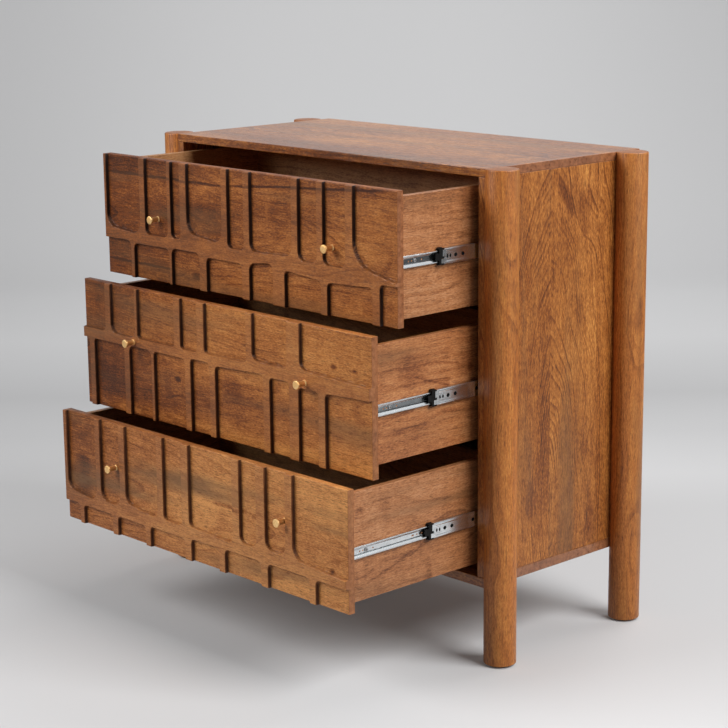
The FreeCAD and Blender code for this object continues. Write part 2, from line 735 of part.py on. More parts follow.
os.makedirs("parts", exist_ok=True)
save_carcass()
for each in DRAWERS:
    save_drawer(each)
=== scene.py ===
"""Looks of a wooden chest of three drawers with carved block fronts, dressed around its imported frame."""

import logging
import math
from dataclasses import dataclass, replace
from enum import Enum

import bmesh
import bpy
import numpy as np
from mathutils import Matrix, Vector


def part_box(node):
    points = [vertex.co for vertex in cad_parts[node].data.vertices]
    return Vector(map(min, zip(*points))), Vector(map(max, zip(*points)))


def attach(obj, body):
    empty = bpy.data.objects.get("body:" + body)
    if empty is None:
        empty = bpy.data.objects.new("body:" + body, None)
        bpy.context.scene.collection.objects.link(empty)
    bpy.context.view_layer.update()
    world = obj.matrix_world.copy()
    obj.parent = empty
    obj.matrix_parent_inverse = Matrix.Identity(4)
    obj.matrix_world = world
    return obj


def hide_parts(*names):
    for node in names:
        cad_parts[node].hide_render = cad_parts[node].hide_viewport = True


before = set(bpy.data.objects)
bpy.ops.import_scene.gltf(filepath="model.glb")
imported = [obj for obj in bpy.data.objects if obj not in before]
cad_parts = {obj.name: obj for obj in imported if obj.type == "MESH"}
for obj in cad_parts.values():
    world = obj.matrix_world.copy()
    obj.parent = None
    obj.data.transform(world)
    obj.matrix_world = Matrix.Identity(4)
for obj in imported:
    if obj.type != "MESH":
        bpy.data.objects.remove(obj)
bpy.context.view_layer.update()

LOG = logging.getLogger("chest")
MM = 0.001
SHARP = 35.0
FINE_EASE = 1.0 * MM
DRAWERS = ("top", "middle", "bottom")
Colour = tuple[float, float, float]
Socket = bpy.types.NodeSocket
Piece = bpy.types.Object
Finish = bpy.types.Material
Box = tuple[Vector, Vector]
Loop = list[tuple[float, float, float]]


def tint(red: int, green: int, blue: int) -> Colour:
    """Gives the linear colour of a display colour.

    Args:
        red: Red, 0 to 255.
        green: Green, 0 to 255.
        blue: Blue, 0 to 255.

    Returns:
        The three linear values, 0 to 1.
    """
    def linear(value: float) -> float:
        """Undoes the display curve for one value."""
        return value / 12.92 if value <= 0.04045 else ((value + 0.055) / 1.055) ** 2.4
    return linear(red / 255), linear(green / 255), linear(blue / 255)


class Wire:
    """An output of a node, which plain arithmetic joins to further nodes."""

    def __init__(self, graph: "Graph", socket: Socket) -> None:
        """Keeps the output and the graph that it belongs to."""
        self.graph = graph
        self.socket = socket

    def __add__(self, other: "Value") -> "Wire":
        """Adds a value."""
        return self.graph.math("ADD", self, other)

    def __sub__(self, other: "Value") -> "Wire":
        """Takes a value away."""
        return self.graph.math("SUBTRACT", self, other)

    def __mul__(self, other: "Value") -> "Wire":
        """Multiplies by a value."""
        return self.graph.math("MULTIPLY", self, other)

    def __truediv__(self, other: "Value") -> "Wire":
        """Divides by a value."""
        return self.graph.math("DIVIDE", self, other)

    def __abs__(self) -> "Wire":
        """Drops the sign."""
        return self.graph.math("ABSOLUTE", self)

    def parts(self) -> tuple["Wire", ...]:
        """Gives the three values of a vector or colour."""
        return tuple(Wire(self.graph, part) for part in self.graph.add("ShaderNodeSeparateXYZ", {0: self}).outputs)

    def eased(self, start: float, end: float, low: float, high: float) -> "Wire":
        """Eases the value smoothly from one range to another.

        Args:
            start: Where the result is low.
            end: Where the result is high.
            low: The result at start and before it.
            high: The result at end and after it.

        Returns:
            The eased value.
        """
        ends = dict(enumerate((self, start, end, low, high)))
        return self.graph.wire("ShaderNodeMapRange", ends, interpolation_type="SMOOTHSTEP")


Value = float | Wire


class Graph:
    """Adds nodes to a tree."""

    def __init__(self, tree: bpy.types.NodeTree) -> None:
        """Keeps the tree that the nodes go into."""
        self.tree = tree

    def add(self, kind: str, inputs: dict[int | str, object] | None = None, **settings: object) -> bpy.types.Node:
        """Adds one node.

        Args:
            kind: Blender's name for the node type.
            inputs: Plain values or other nodes' outputs, by the name or number of the input.
            **settings: Properties of the node.

        Returns:
            The new node.
        """
        node = self.tree.nodes.new(kind)
        for key, value in settings.items():
            setattr(node, key, value)
        for key, value in (inputs or {}).items():
            self.feed(node.inputs[key], value)
        return node

    def wire(self, kind: str, inputs: dict[int | str, object] | None = None, output: int | str = 0,
             **settings: object) -> Wire:
        """Adds one node as add does, and gives back the output of that name or number."""
        return Wire(self, self.add(kind, inputs, **settings).outputs[output])

    def feed(self, socket: Socket, value: object) -> None:
        """Links an input to another node's output, or sets its plain value.

        Args:
            socket: The input.
            value: The output or the plain value.
        """
        if isinstance(value, Wire):
            value = value.socket
        if isinstance(value, Socket):
            self.tree.links.new(value, socket)
        else:
            socket.default_value = value

    def math(self, operation: str, *values: Value) -> Wire:
        """Adds a Math node, by Blender's name for the operation."""
        return self.wire("ShaderNodeMath", dict(enumerate(values)), operation=operation)

    def reach(self, first: Wire, second: Wire) -> Wire:
        """Gives the distance that two steps at right angles make."""
        return self.math("SQRT", first * first + second * second)

    def join(self, x: Value, y: Value, z: Value) -> Wire:
        """Makes a vector of three values."""
        return self.wire("ShaderNodeCombineXYZ", {0: x, 1: y, 2: z})

    def spot(self) -> Wire:
        """Gives the place of each point in the chest's own frame."""
        return self.wire("ShaderNodeTexCoord", output="Object")

    def noise(self, place: Wire, stretch: tuple[float, float, float], detail: float = 2.0, roughness: float = 0.5,
              output: str = "Fac") -> Wire:
        """Adds a noise texture that is stretched along the axes.

        Args:
            place: The coordinates.
            stretch: Cells per metre along each axis.
            detail: How many finer layers it has.
            roughness: How strong the finer layers are.
            output: Fac for one value, or Color for three.

        Returns:
            The noise.
        """
        scaled = self.wire("ShaderNodeVectorMath", {0: place, 1: stretch}, operation="MULTIPLY")
        inputs = {"Vector": scaled, "Scale": 1.0, "Detail": detail, "Roughness": roughness}
        return self.wire("ShaderNodeTexNoise", inputs, output)

    def chance(self, value: Value, output: str = "Value") -> Wire:
        """Gives each whole number its own random value, or its own random colour."""
        return self.wire("ShaderNodeTexWhiteNoise", {"W": value}, output, noise_dimensions="1D")

    def ramp(self, value: Value, stops: tuple[tuple[float, Colour], ...]) -> Wire:
        """Adds a colour ramp.

        Args:
            value: The place on the ramp.
            stops: Places and colours.

        Returns:
            The colour.
        """
        node = self.add("ShaderNodeValToRGB", {0: value})
        ramp = node.color_ramp
        while len(ramp.elements) < len(stops):
            ramp.elements.new(1.0)
        for element, (place, colour) in zip(ramp.elements, stops):
            element.position = place
            element.color = (*colour, 1.0)
        return Wire(self, node.outputs[0])

    def mix(self, share: Value, first: Colour | Wire, second: Colour | Wire, blend: str = "MIX") -> Wire:
        """Mixes two colours.

        Args:
            share: How much of the second colour shows.
            first: The first colour.
            second: The second colour.
            blend: Blender's name for the way they mix.

        Returns:
            The mixed colour.
        """
        first, second = ((*tone, 1.0) if isinstance(tone, tuple) else tone for tone in (first, second))
        return self.wire("ShaderNodeMix", {0: share, 6: first, 7: second}, 2, data_type="RGBA", blend_type=blend)

    def bump(self, height: Wire, strength: float, distance: float) -> Wire:
        """Turns a height into a bumped normal."""
        return self.wire("ShaderNodeBump", {"Height": height, "Strength": strength, "Distance": distance})

    def seen(self) -> tuple[Wire, Wire]:
        """Tells what a ray is for.

        Returns:
            1 for what the camera sees, and 1 for what the camera or a reflection sees.
        """
        ray = self.add("ShaderNodeLightPath")
        camera, glossy = (Wire(self, ray.outputs[name]) for name in ("Is Camera Ray", "Is Glossy Ray"))
        return camera, self.math("MAXIMUM", camera, glossy)

    def surface(self, inputs: dict[str, object]) -> None:
        """Ends a material in a Principled shader with these inputs."""
        shader = self.add("ShaderNodeBsdfPrincipled", inputs)
        self.add("ShaderNodeOutputMaterial", {"Surface": shader.outputs[0]})


class Grain(Enum):
    """Which coordinates run along the grain, across it and through the board."""

    ALONG_FRONT = (0, 2, 1)
    ALONG_TOP = (0, 1, 2)
    UPRIGHT = (2, 1, 0)
    FRONT_TO_BACK = (1, 2, 0)


class MarkKind(Enum):
    """What a mark in the wood is."""

    KNOT = "knot"
    STAIN = "stain"
    LINE = "line"


@dataclass(frozen=True)
class Mark:
    """A knot, a stain or a mineral line, in metres from the middle of its board.

    Attributes:
        kind: What it is.
        along: Its middle along the grain.
        across: Its middle across the grain.
        length: Half its length along the grain.
        width: Half its width.
        strength: How dark it is, or below zero how pale.
        slope: How far it climbs across the grain for each metre along it.
    """

    kind: MarkKind
    along: float
    across: float
    length: float
    width: float
    strength: float
    slope: float = 0.0


def new_finish(name: str) -> tuple[Finish, Graph]:
    """Starts a node material.

    Args:
        name: The material's name.

    Returns:
        The material and its graph.
    """
    material = bpy.data.materials.new(name)
    material.use_nodes = True
    material.node_tree.nodes.clear()
    return material, Graph(material.node_tree)


HEARTWOOD = tint(118, 84, 54)
# Near-black that paints the shade in the walls of the carving, over the stain that their end grain takes up.
CARVING_SHADE_DARK = tint(24, 7, 3)
WOOD_LAYERS = {"cloud": ((2.4, 9.0, 9.0), 3.0, 0.5), "streak": ((4.0, 120.0, 120.0), 4.0, 0.62),
               "fibre": ((34.0, 420.0, 420.0), 2.0, 0.6), "mottle": ((42.0, 90.0, 90.0), 2.0, 0.5),
               "speckle": ((170.0, 480.0, 480.0), 2.0, 0.7), "curl": ((62.0, 9.0, 9.0), 2.0, 0.5)}


@dataclass(frozen=True)
class Wood:
    """Lacquered hardwood: rings about a heart, streaks, pores, glued strips and marks.

    Attributes:
        grain: Which way the grain runs.
        dark: Tone of the darkest streaks.
        brown: Tone between dark and middle.
        middle: Main tone.
        light: Tone of the palest wood.
        heart_across: Place of the tree's heart across the board.
        heart_depth: Distance of the heart behind the board.
        tilt: How far the heart leans for each metre along the grain.
        ring: Spacing of the rings.
        wave: How far the rings wander.
        figure: How much the rings show.
        cloud: How much large patches differ in tone.
        streak: How much the fine streaks differ in tone.
        fibre: How much the single fibres differ in tone.
        mottle: How much small flecks differ in tone.
        speckle: How much the finest flecks differ in tone.
        curl: How much ripples across the grain show.
        rise: How much paler the board gets for each metre along the grain; on the fronts this is a painted gradient
            of light.
        grey: How far greyish heartwood shows.
        joints: Places across the board where strips are glued together.
        strip_tone: How much the strips differ in tone.
        tone: Shifts the whole board paler or darker.
        roughness: Roughness of the lacquer.
        coat: How much clear lacquer lies over the wood.
        shine: How much light the bare surface reflects.
        end_dark: Darker tone of the cut ends.
        end_light: Paler tone of the cut ends.
        raised_tone: Paler, greyer tone mixed into the raised wood of a carved board.
        marks: Knots, stains and lines.
        carved: Whether the carving's attributes darken its walls with painted shade and stain, and tone its raised
            wood.
    """

    grain: Grain
    dark: Colour = tint(70, 33, 12)
    brown: Colour = tint(130, 71, 28)
    middle: Colour = tint(182, 114, 52)
    light: Colour = tint(230, 164, 86)
    heart_across: float = 0.0
    heart_depth: float = 0.10
    tilt: float = 0.06
    ring: float = 0.006
    wave: float = 0.07
    figure: float = 0.24
    cloud: float = 0.80
    streak: float = 0.58
    fibre: float = 0.46
    mottle: float = 0.36
    speckle: float = 0.95
    curl: float = 0.22
    rise: float = 0.0
    grey: float = 0.55
    joints: tuple[float, ...] = ()
    strip_tone: float = 0.16
    tone: float = 0.0
    roughness: float = 0.40
    coat: float = 0.0
    shine: float = 0.45
    end_dark: Colour = tint(112, 68, 44)
    end_light: Colour = tint(168, 112, 78)
    raised_tone: Colour = tint(164, 108, 68)
    marks: tuple[Mark, ...] = ()
    carved: bool = False

    def material(self, name: str, centre: Vector, seed: float) -> Finish:
        """Makes the finish for one board.

        Args:
            name: The material's name.
            centre: Middle of the board.
            seed: A number that gives the board its own figure.

        Returns:
            The material.
        """
        material, graph = new_finish(name)
        place = graph.wire("ShaderNodeMapping", {"Vector": graph.spot(), "Location": -centre}).parts()
        along, across, depth = (place[index] for index in self.grain.value)
        strip = graph.chance(self._strip_number(graph, across, seed), "Color").parts()
        wood = graph.join(along + (strip[0] * 4.0 + seed * 3.1), across, depth)
        dark, bend = self._marks(graph, wood, along, across)
        rings = self._rings(graph, wood, (along, across, depth), strip[1], bend)
        layers = {layer: graph.noise(wood, *cells) for layer, cells in WOOD_LAYERS.items()}
        streak = layers["streak"]
        pores = graph.noise(wood, (60.0, 800.0, 800.0), 1.0).eased(0.58, 0.70, 0.0, 1.0)
        # The rise term paints light that grows along the board.
        tone = along * self.rise - rings * self.figure - dark + (0.58 + self.tone)
        for layer, pattern in layers.items():
            tone += (pattern - 0.5) * getattr(self, layer)
        if self.joints:
            tone += (strip[2] - 0.5) * self.strip_tone
        colour = graph.ramp(tone, ((0.0, self.dark), (0.33, self.brown), (0.60, self.middle), (1.0, self.light)))
        grey = graph.noise(wood, (1.7, 15.0, 15.0), 3.0, 0.55).eased(0.50, 0.72, 0.0, self.grey)
        colour = graph.mix(grey, colour, HEARTWOOD)
        colour = graph.mix(pores * 0.55, colour, self.dark)
        facing = graph.wire("ShaderNodeNewGeometry", output="True Normal").parts()[self.grain.value[0]]
        ends = graph.ramp(streak, ((0.3, self.end_dark), (0.7, self.end_light)))
        colour = graph.mix(abs(facing).eased(0.6, 0.9, 0.0, 0.8), colour, ends)
        if self.carved:
            # The carving attribute paints shade, with some end-grain stain, into the walls and the floor beside them;
            # the raised attribute tones the raised wood.
            raised, carve = (graph.wire("ShaderNodeAttribute", output="Fac", attribute_name=layer)
                             for layer in ("raised", "carve"))
            colour = graph.mix(raised * 0.30, colour, self.raised_tone)
            colour = graph.mix(carve, colour, CARVING_SHADE_DARK)
        relief = streak * 0.8 - pores * 0.8 + layers["mottle"] * 0.5
        graph.surface({"Base Color": colour, "Specular IOR Level": self.shine, "Coat Weight": self.coat,
                       "Coat Roughness": 0.22, "Roughness": (streak - 0.5) * 0.18 + pores * 0.15 + self.roughness,
                       "Normal": graph.bump(relief, 0.22, 0.0008)})
        return material

    def _strip_number(self, graph: Graph, across: Wire, seed: float) -> Value:
        """Counts the glued joints before each point.

        Args:
            graph: The material's graph.
            across: Place across the board.
            seed: The board's own number.

        Returns:
            A number for the strip.
        """
        number: Value = seed
        for joint in self.joints:
            number = graph.math("GREATER_THAN", across, joint) + number
        return number

    def _marks(self, graph: Graph, wood: Wire, along: Wire, across: Wire) -> tuple[Value, Value]:
        """Draws the knots, stains and lines.

        Args:
            graph: The material's graph.
            wood: Coordinates in the wood.
            along: Place along the grain.
            across: Place across the grain.

        Returns:
            How dark they make each point, and how far they bend the rings there.
        """
        dark: Value = 0.0
        bend: Value = 0.0
        wander = graph.noise(wood, (9.0, 28.0, 28.0), 3.0, 0.6, "Color").parts()[0] * 1.1 - 0.55
        for mark in self.marks:
            ahead = (along - mark.along) / mark.length
            aside = (across - (ahead * (mark.slope * mark.length) + mark.across)) / mark.width
            if mark.kind is MarkKind.LINE:
                shade = abs(wander * 2.2 + aside).eased(0.1, 1.0, 1.0, 0.0) * abs(ahead).eased(
                    0.7, 1.0, mark.strength, 0.0)
            else:
                far = graph.reach(ahead, aside) + wander * 0.9
                shade = far.eased(0.15, 1.0, mark.strength, 0.0)
                if mark.kind is MarkKind.KNOT:
                    bend = far.eased(0.0, 2.6, 4.0, 0.0) + bend
            dark = shade + dark
        return dark, bend

    def _rings(self, graph: Graph, wood: Wire, place: tuple[Wire, Wire, Wire], chance: Wire, bend: Value) -> Wire:
        """Draws the growth rings about a leaning heart.

        Args:
            graph: The material's graph.
            wood: Coordinates in the wood.
            place: Place along the grain, across it and through the board.
            chance: A random value of the strip.
            bend: How far marks bend the rings.

        Returns:
            How dark the rings make each point, 0 to 1.
        """
        along, across, depth = place
        warp = graph.noise(wood, (3.0, 8.0, 8.0), output="Color").parts()
        aside = across + (warp[0] - 0.5) * self.wave - self.heart_across
        if self.joints:
            aside += chance * 0.14
        behind = depth + (along * self.tilt + self.heart_depth) + (warp[1] - 0.5) * self.wave
        fine = graph.noise(wood, (14.0, 60.0, 60.0), 3.0)
        count = graph.reach(aside, behind) * (1.0 / self.ring) + fine * 0.55 + bend
        part = graph.math("FRACT", count)
        line = part.eased(0.25, 0.9, 0.0, 1.0) * part.eased(0.93, 1.0, 1.0, 0.0)
        strength = graph.math("POWER", graph.chance(graph.math("FLOOR", count)), 1.6)
        broken = graph.noise(wood, (5.0, 26.0, 26.0), 3.0, 0.6).eased(0.38, 0.60, 0.45, 1.20)
        return line * broken * (strength * 0.9 + 0.1)


@dataclass(frozen=True)
class Plywood:
    """Stained plywood: one wide rotary-cut veneer with soft waves and short pores.

    Attributes:
        pale: Paler tone.
        deep: Darker tone.
        upright: Whether the face grain stands upright, or else runs along the front.
    """

    pale: Colour = tint(158, 104, 62)
    deep: Colour = tint(118, 70, 38)
    upright: bool = False

    def material(self, name: str, seed: float) -> Finish:
        """Makes the finish.

        Args:
            name: The material's name.
            seed: A number that gives the sheet its own figure.

        Returns:
            The material.
        """
        material, graph = new_finish(name)
        x, y, z = graph.spot().parts()
        along, across, depth = (z, x, y) if self.upright else (x, y, z)
        place = graph.join(along + seed, across, depth)
        wave = graph.noise(place, (2.5, 14.0, 14.0), 4.0, 0.55)
        thread = graph.noise(place, (9.0, 260.0, 260.0), 3.0, 0.6)
        tone = graph.math("SINE", wave * 60.0) * 0.14 + wave + thread * 0.5 - 0.2
        graph.surface({"Base Color": graph.ramp(tone, ((0.15, self.deep), (0.85, self.pale))),
                       "Roughness": thread * 0.2 + 0.45, "Normal": graph.bump(thread, 0.2, 0.0006)})
        return material


@dataclass(frozen=True)
class Metal:
    """Plated or solid metal with rolling marks, dull patches and fine scratches.

    Attributes:
        bright: Tone of the clean metal.
        dull: Tone of the tarnish.
        roughness: Roughness of the clean metal.
        stretch: Cells of the marks for each metre along each axis.
        relief: How strongly the marks show in the surface.
        spread: How much rougher the dull places are.
    """

    bright: Colour
    dull: Colour
    roughness: float
    stretch: tuple[float, float, float]
    relief: float = 0.12
    spread: float = 0.16

    def material(self, name: str) -> Finish:
        """Makes the finish.

        Args:
            name: The material's name.

        Returns:
            The material.
        """
        material, graph = new_finish(name)
        marks = graph.noise(graph.spot(), self.stretch, 3.0, 0.6)
        patch = graph.noise(graph.spot(), (60.0, 60.0, 60.0), 4.0, 0.6)
        share = (marks * 0.5 + patch * 0.5).eased(0.38, 0.64, 0.0, 1.0)
        graph.surface({"Base Color": graph.mix(share, self.bright, self.dull), "Metallic": 1.0,
                       "Roughness": share * self.spread + self.roughness,
                       "Normal": graph.bump(marks, self.relief, 0.0004)})
        return material


@dataclass(frozen=True)
class Plastic:
    """Moulded plastic with a fine skin and rubbed places.

    Attributes:
        tone: Main tone.
        rubbed: Tone of rubbed places.
        roughness: Main roughness.
        shine: How much light it reflects at its surface.
    """

    tone: Colour
    rubbed: Colour
    roughness: float
    shine: float = 0.5

    def material(self, name: str) -> Finish:
        """Makes the finish.

        Args:
            name: The material's name.

        Returns:
            The material.
        """
        material, graph = new_finish(name)
        skin = graph.noise(graph.spot(), (1500.0, 1500.0, 1500.0))
        rub = graph.noise(graph.spot(), (90.0, 90.0, 90.0), 4.0, 0.6).eased(0.5, 0.7, 0.0, 1.0)
        graph.surface({"Base Color": graph.mix(rub, self.tone, self.rubbed), "Specular IOR Level": self.shine,
                       "Roughness": rub * 0.12 + self.roughness, "Normal": graph.bump(skin, 0.25, 0.0003)})
        return material


class Shell:
    """Points and faces that are collected for one mesh."""

    def __init__(self) -> None:
        """Starts with nothing."""
        self.points: Loop = []
        self.faces: list[tuple[int, ...]] = []

    def add(self, points: Loop) -> list[int]:
        """Adds points.

        Args:
            points: The points.

        Returns:
            Their numbers.
        """
        start = len(self.points)
        self.points.extend(tuple(point) for point in points)
        return list(range(start, len(self.points)))

    def band(self, first: list[int], second: list[int]) -> None:
        """Joins two closed loops with four-sided faces.

        Args:
            first: Numbers of the first loop's points.
            second: As many numbers of the second loop's points.
        """
        count = len(first)
        for index in range(count):
            after = (index + 1) % count
            self.faces.append((first[index], first[after], second[after], second[index]))

    def stack(self, loops: list[Loop]) -> None:
        """Joins loops one after the other and closes both ends.

        Args:
            loops: Closed loops with the same number of points.
        """
        rows = [self.add(loop) for loop in loops]
        for first, second in zip(rows, rows[1:]):
            self.band(first, second)
        self.faces.append(tuple(reversed(rows[0])))
        self.faces.append(tuple(rows[-1]))

    def mirrored(self) -> "Shell":
        """Adds the same shape on the other side of the chest.

        Returns:
            This shell.
        """
        count = len(self.points)
        self.points.extend([(-x, y, z) for x, y, z in self.points])
        self.faces.extend([tuple(index + count for index in reversed(face)) for face in self.faces])
        return self

    def piece(self, name: str, finish: Finish, angle: float = 40.0) -> Piece:
        """Makes the object.

        Args:
            name: Its name.
            finish: Its material.
            angle: Edges sharper than this many degrees stay sharp.

        Returns:
            The object, at the origin, with faces outwards.
        """
        mesh = bpy.data.meshes.new(name)
        mesh.from_pydata(self.points, [], self.faces)
        tidy = bmesh.new()
        tidy.from_mesh(mesh)
        bmesh.ops.recalc_face_normals(tidy, faces=tidy.faces)
        tidy.to_mesh(mesh)
        tidy.free()
        return show(name, mesh, finish, angle)


def show(name: str, mesh: bpy.types.Mesh, finish: Finish, angle: float | None = 40.0) -> Piece:
    """Puts a mesh in the scene with its finish and smooth shading.

    Args:
        name: Name of the object.
        mesh: The mesh.
        finish: The material.
        angle: Edges sharper than this many degrees stay sharp. None keeps the shading that the mesh has.

    Returns:
        The object.
    """
    mesh.materials.clear()
    mesh.materials.append(finish)
    if angle is not None:
        mesh.shade_smooth()
        mesh.set_sharp_from_angle(angle=math.radians(angle))
    piece = bpy.data.objects.new(name, mesh)
    bpy.context.scene.collection.objects.link(piece)
    return piece


def seat(piece: Piece, node: str, body: str) -> Piece:
    """Lets a piece stand for a node and move with its body.

    Args:
        piece: The finished piece.
        node: The node that it stands for.
        body: The body that carries it.

    Returns:
        The piece.
    """
    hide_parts(node)
    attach(piece, body)
    LOG.info("%s: %d faces on %s", piece.name, len(piece.data.polygons), body)
    return piece


def dress(node: str, finish: Finish) -> None:
    """Gives a node that keeps its own shape its finish.

    Args:
        node: The node.
        finish: Its finish.
    """
    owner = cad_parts[node]
    owner.data.materials.clear()
    owner.data.materials.append(finish)
    LOG.info("%s: keeps its solid, dressed in %s", node, finish.name)


def middle(node: str) -> Vector:
    """Gives the middle of a node."""
    low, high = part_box(node)
    return (low + high) / 2


def merged_copy(node: str) -> bmesh.types.BMesh:
    """Copies a node's mesh with its loose triangles joined.

    Args:
        node: The node.

    Returns:
        The copy.
    """
    copy = bmesh.new()
    copy.from_mesh(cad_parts[node].data)
    bmesh.ops.remove_doubles(copy, verts=copy.verts, dist=0.01 * MM)
    return copy


def solid_boxes(node: str) -> list[Box]:
    """Gives the box of each separate solid of a node.

    Args:
        node: The node.

    Returns:
        Lowest and highest corners, sorted by their middles.
    """
    copy = merged_copy(node)
    waiting = set(copy.verts)
    boxes = []
    while waiting:
        edge = [waiting.pop()]
        found = list(edge)
        while edge:
            vert = edge.pop()
            for link in vert.link_edges:
                other = link.other_vert(vert)
                if other in waiting:
                    waiting.discard(other)
                    edge.append(other)
                    found.append(other)
        low = Vector([min(vert.co[axis] for vert in found) for axis in range(3)])
        high = Vector([max(vert.co[axis] for vert in found) for axis in range(3)])
        boxes.append((low, high))
    copy.free()
    return sorted(boxes, key=lambda box: tuple(round(v, 4) for v in (box[0] + box[1]) / 2))


def eased_board(node: str, finish: Finish, ease: float = 1.2 * MM) -> Piece:
    """Copies a board with its long edges eased by hand, and its grooves and holes kept.

    Args:
        node: The board's node.
        finish: Its wood.
        ease: How far the edges are rounded.

    Returns:
        The new board.
    """
    board = merged_copy(node)
    bmesh.ops.dissolve_limit(board, angle_limit=math.radians(0.5), verts=board.verts, edges=board.edges)
    corners = [edge for edge in board.edges if len(edge.link_faces) == 2 and edge.is_convex]
    long_edges = [edge for edge in corners if edge.calc_length() > 60 * MM
                  and edge.calc_face_angle(0.0) > math.radians(60)]
    short_edges = [edge for edge in corners if edge not in long_edges and edge.calc_length() > 9 * MM
                   and edge.calc_face_angle(0.0) > math.radians(80)
                   and all(any(link in long_edges for link in vert.link_edges) for vert in edge.verts)]
    eased = bmesh.ops.bevel(board, geom=long_edges + short_edges, offset=ease, offset_type="OFFSET", segments=3,
                            profile=0.5, affect="EDGES", clamp_overlap=False)
    for face in board.faces:
        face.smooth = False
    for face in eased["faces"]:
        face.smooth = True
    mesh = bpy.data.meshes.new(node + "_board")
    board.to_mesh(mesh)
    board.free()
    return show(node + "_board", mesh, finish, None)


def arc(x: float, y: float, z: float, radius: float, start: float, sweep: float, count: int) -> Loop:
    """Gives the points of a level arc, from one end to the other."""
    turns = [start + sweep * step / count for step in range(count + 1)]
    return [(x + radius * math.cos(turn), y + radius * math.sin(turn), z) for turn in turns]


def circle(x: float, y: float, z: float, radius: float, count: int) -> Loop:
    """Gives the points of a level circle."""
    return arc(x, y, z, radius, 0.0, 2 * math.pi, count)[:-1]


@dataclass
class Post:
    """A round corner post, let into the carcass above its leg.

    Attributes:
        node: Its node.
        x: Middle of the post, from the middle of the chest.
        y: Middle of the post, from front to back.
        radius: Half its diameter.
        leg: Height where the carcass starts.
        foot: Height of its lower end.
        top: Height of its upper end.
        side: Outer face of the side panel, always on the right.
        front: Front edge of the carcass.
        rim: How far the ends are rounded.
    """

    node: str
    x: float
    y: float
    radius: float
    leg: float
    foot: float
    top: float
    side: float
    front: float
    rim: float = 2.2 * MM

    def outline(self, radius: float, height: float, count: int = 64) -> tuple[Loop, Loop]:
        """Gives the post's outline beside the carcass.

        Args:
            radius: Radius at this height.
            height: The height.
            count: Points on the open arc.

        Returns:
            The open arc and the points along the carcass that close it.
        """
        back_reach = math.sqrt(radius ** 2 - (self.x - self.side) ** 2)
        rear = (self.side, self.y + back_reach)
        if self.y - self.radius < self.front:
            front = (self.x - math.sqrt(radius ** 2 - (self.y - self.front) ** 2), self.front)
            corner = [(self.side, self.front, height)]
        else:
            front = (self.side, self.y - back_reach)
            corner = [(self.side, self.y, height)]
        start = math.atan2(front[1] - self.y, front[0] - self.x)
        end = math.atan2(rear[1] - self.y, rear[0] - self.x)
        sweep = (end - start) % (2 * math.pi)
        return arc(self.x, self.y, height, radius, start, sweep, count), corner

    def build(self, finish: Finish, mirror: bool) -> Piece:
        """Makes the post's mesh.

        Args:
            finish: Its wood.
            mirror: Whether it stands on the left.

        Returns:
            The post.
        """
        shell = Shell()
        open_side, corner = self.outline(self.radius, self.leg)
        start, end = (math.atan2(y - self.y, x - self.x) for x, y, _ in (open_side[-1], open_side[0]))
        gap = (end - start) % (2 * math.pi)
        leg_top = open_side + arc(self.x, self.y, self.leg, self.radius, start, gap, 24)[1:-1]
        rounding = [(self.rim * (1 - math.sin(a)), self.rim * (1 - math.cos(a)))
                    for a in (step * math.pi / 8 for step in range(5))]
        rows = []
        for inset, rise in rounding:
            share = (self.radius - inset) / self.radius
            rows.append(shell.add([(self.x + (x - self.x) * share, self.y + (y - self.y) * share, self.foot + rise)
                                   for x, y, _ in leg_top]))
        rows.append(shell.add(leg_top))
        for first, second in zip(rows, rows[1:]):
            shell.band(first, second)
        shell.faces.append(tuple(reversed(rows[0])))
        count = len(open_side)
        corner_row = shell.add(corner)
        shell.faces.append(tuple([rows[-1][count - 1]] + rows[-1][count:] + [rows[-1][0]] + corner_row))
        lower = rows[-1][:count] + corner_row
        for inset, rise in reversed(rounding):
            next_arc, next_corner = self.outline(self.radius - inset, self.top - rise)
            upper = shell.add(next_arc + next_corner)
            shell.band(lower, upper)
            lower = upper
        shell.faces.append(tuple(lower))
        if mirror:
            shell.points = [(-x, y, z) for x, y, z in shell.points]
        return shell.piece(self.node + "_turned", finish, SHARP)


BEECH = (tint(170, 130, 90), tint(190, 150, 108), tint(206, 168, 124), tint(220, 186, 144))


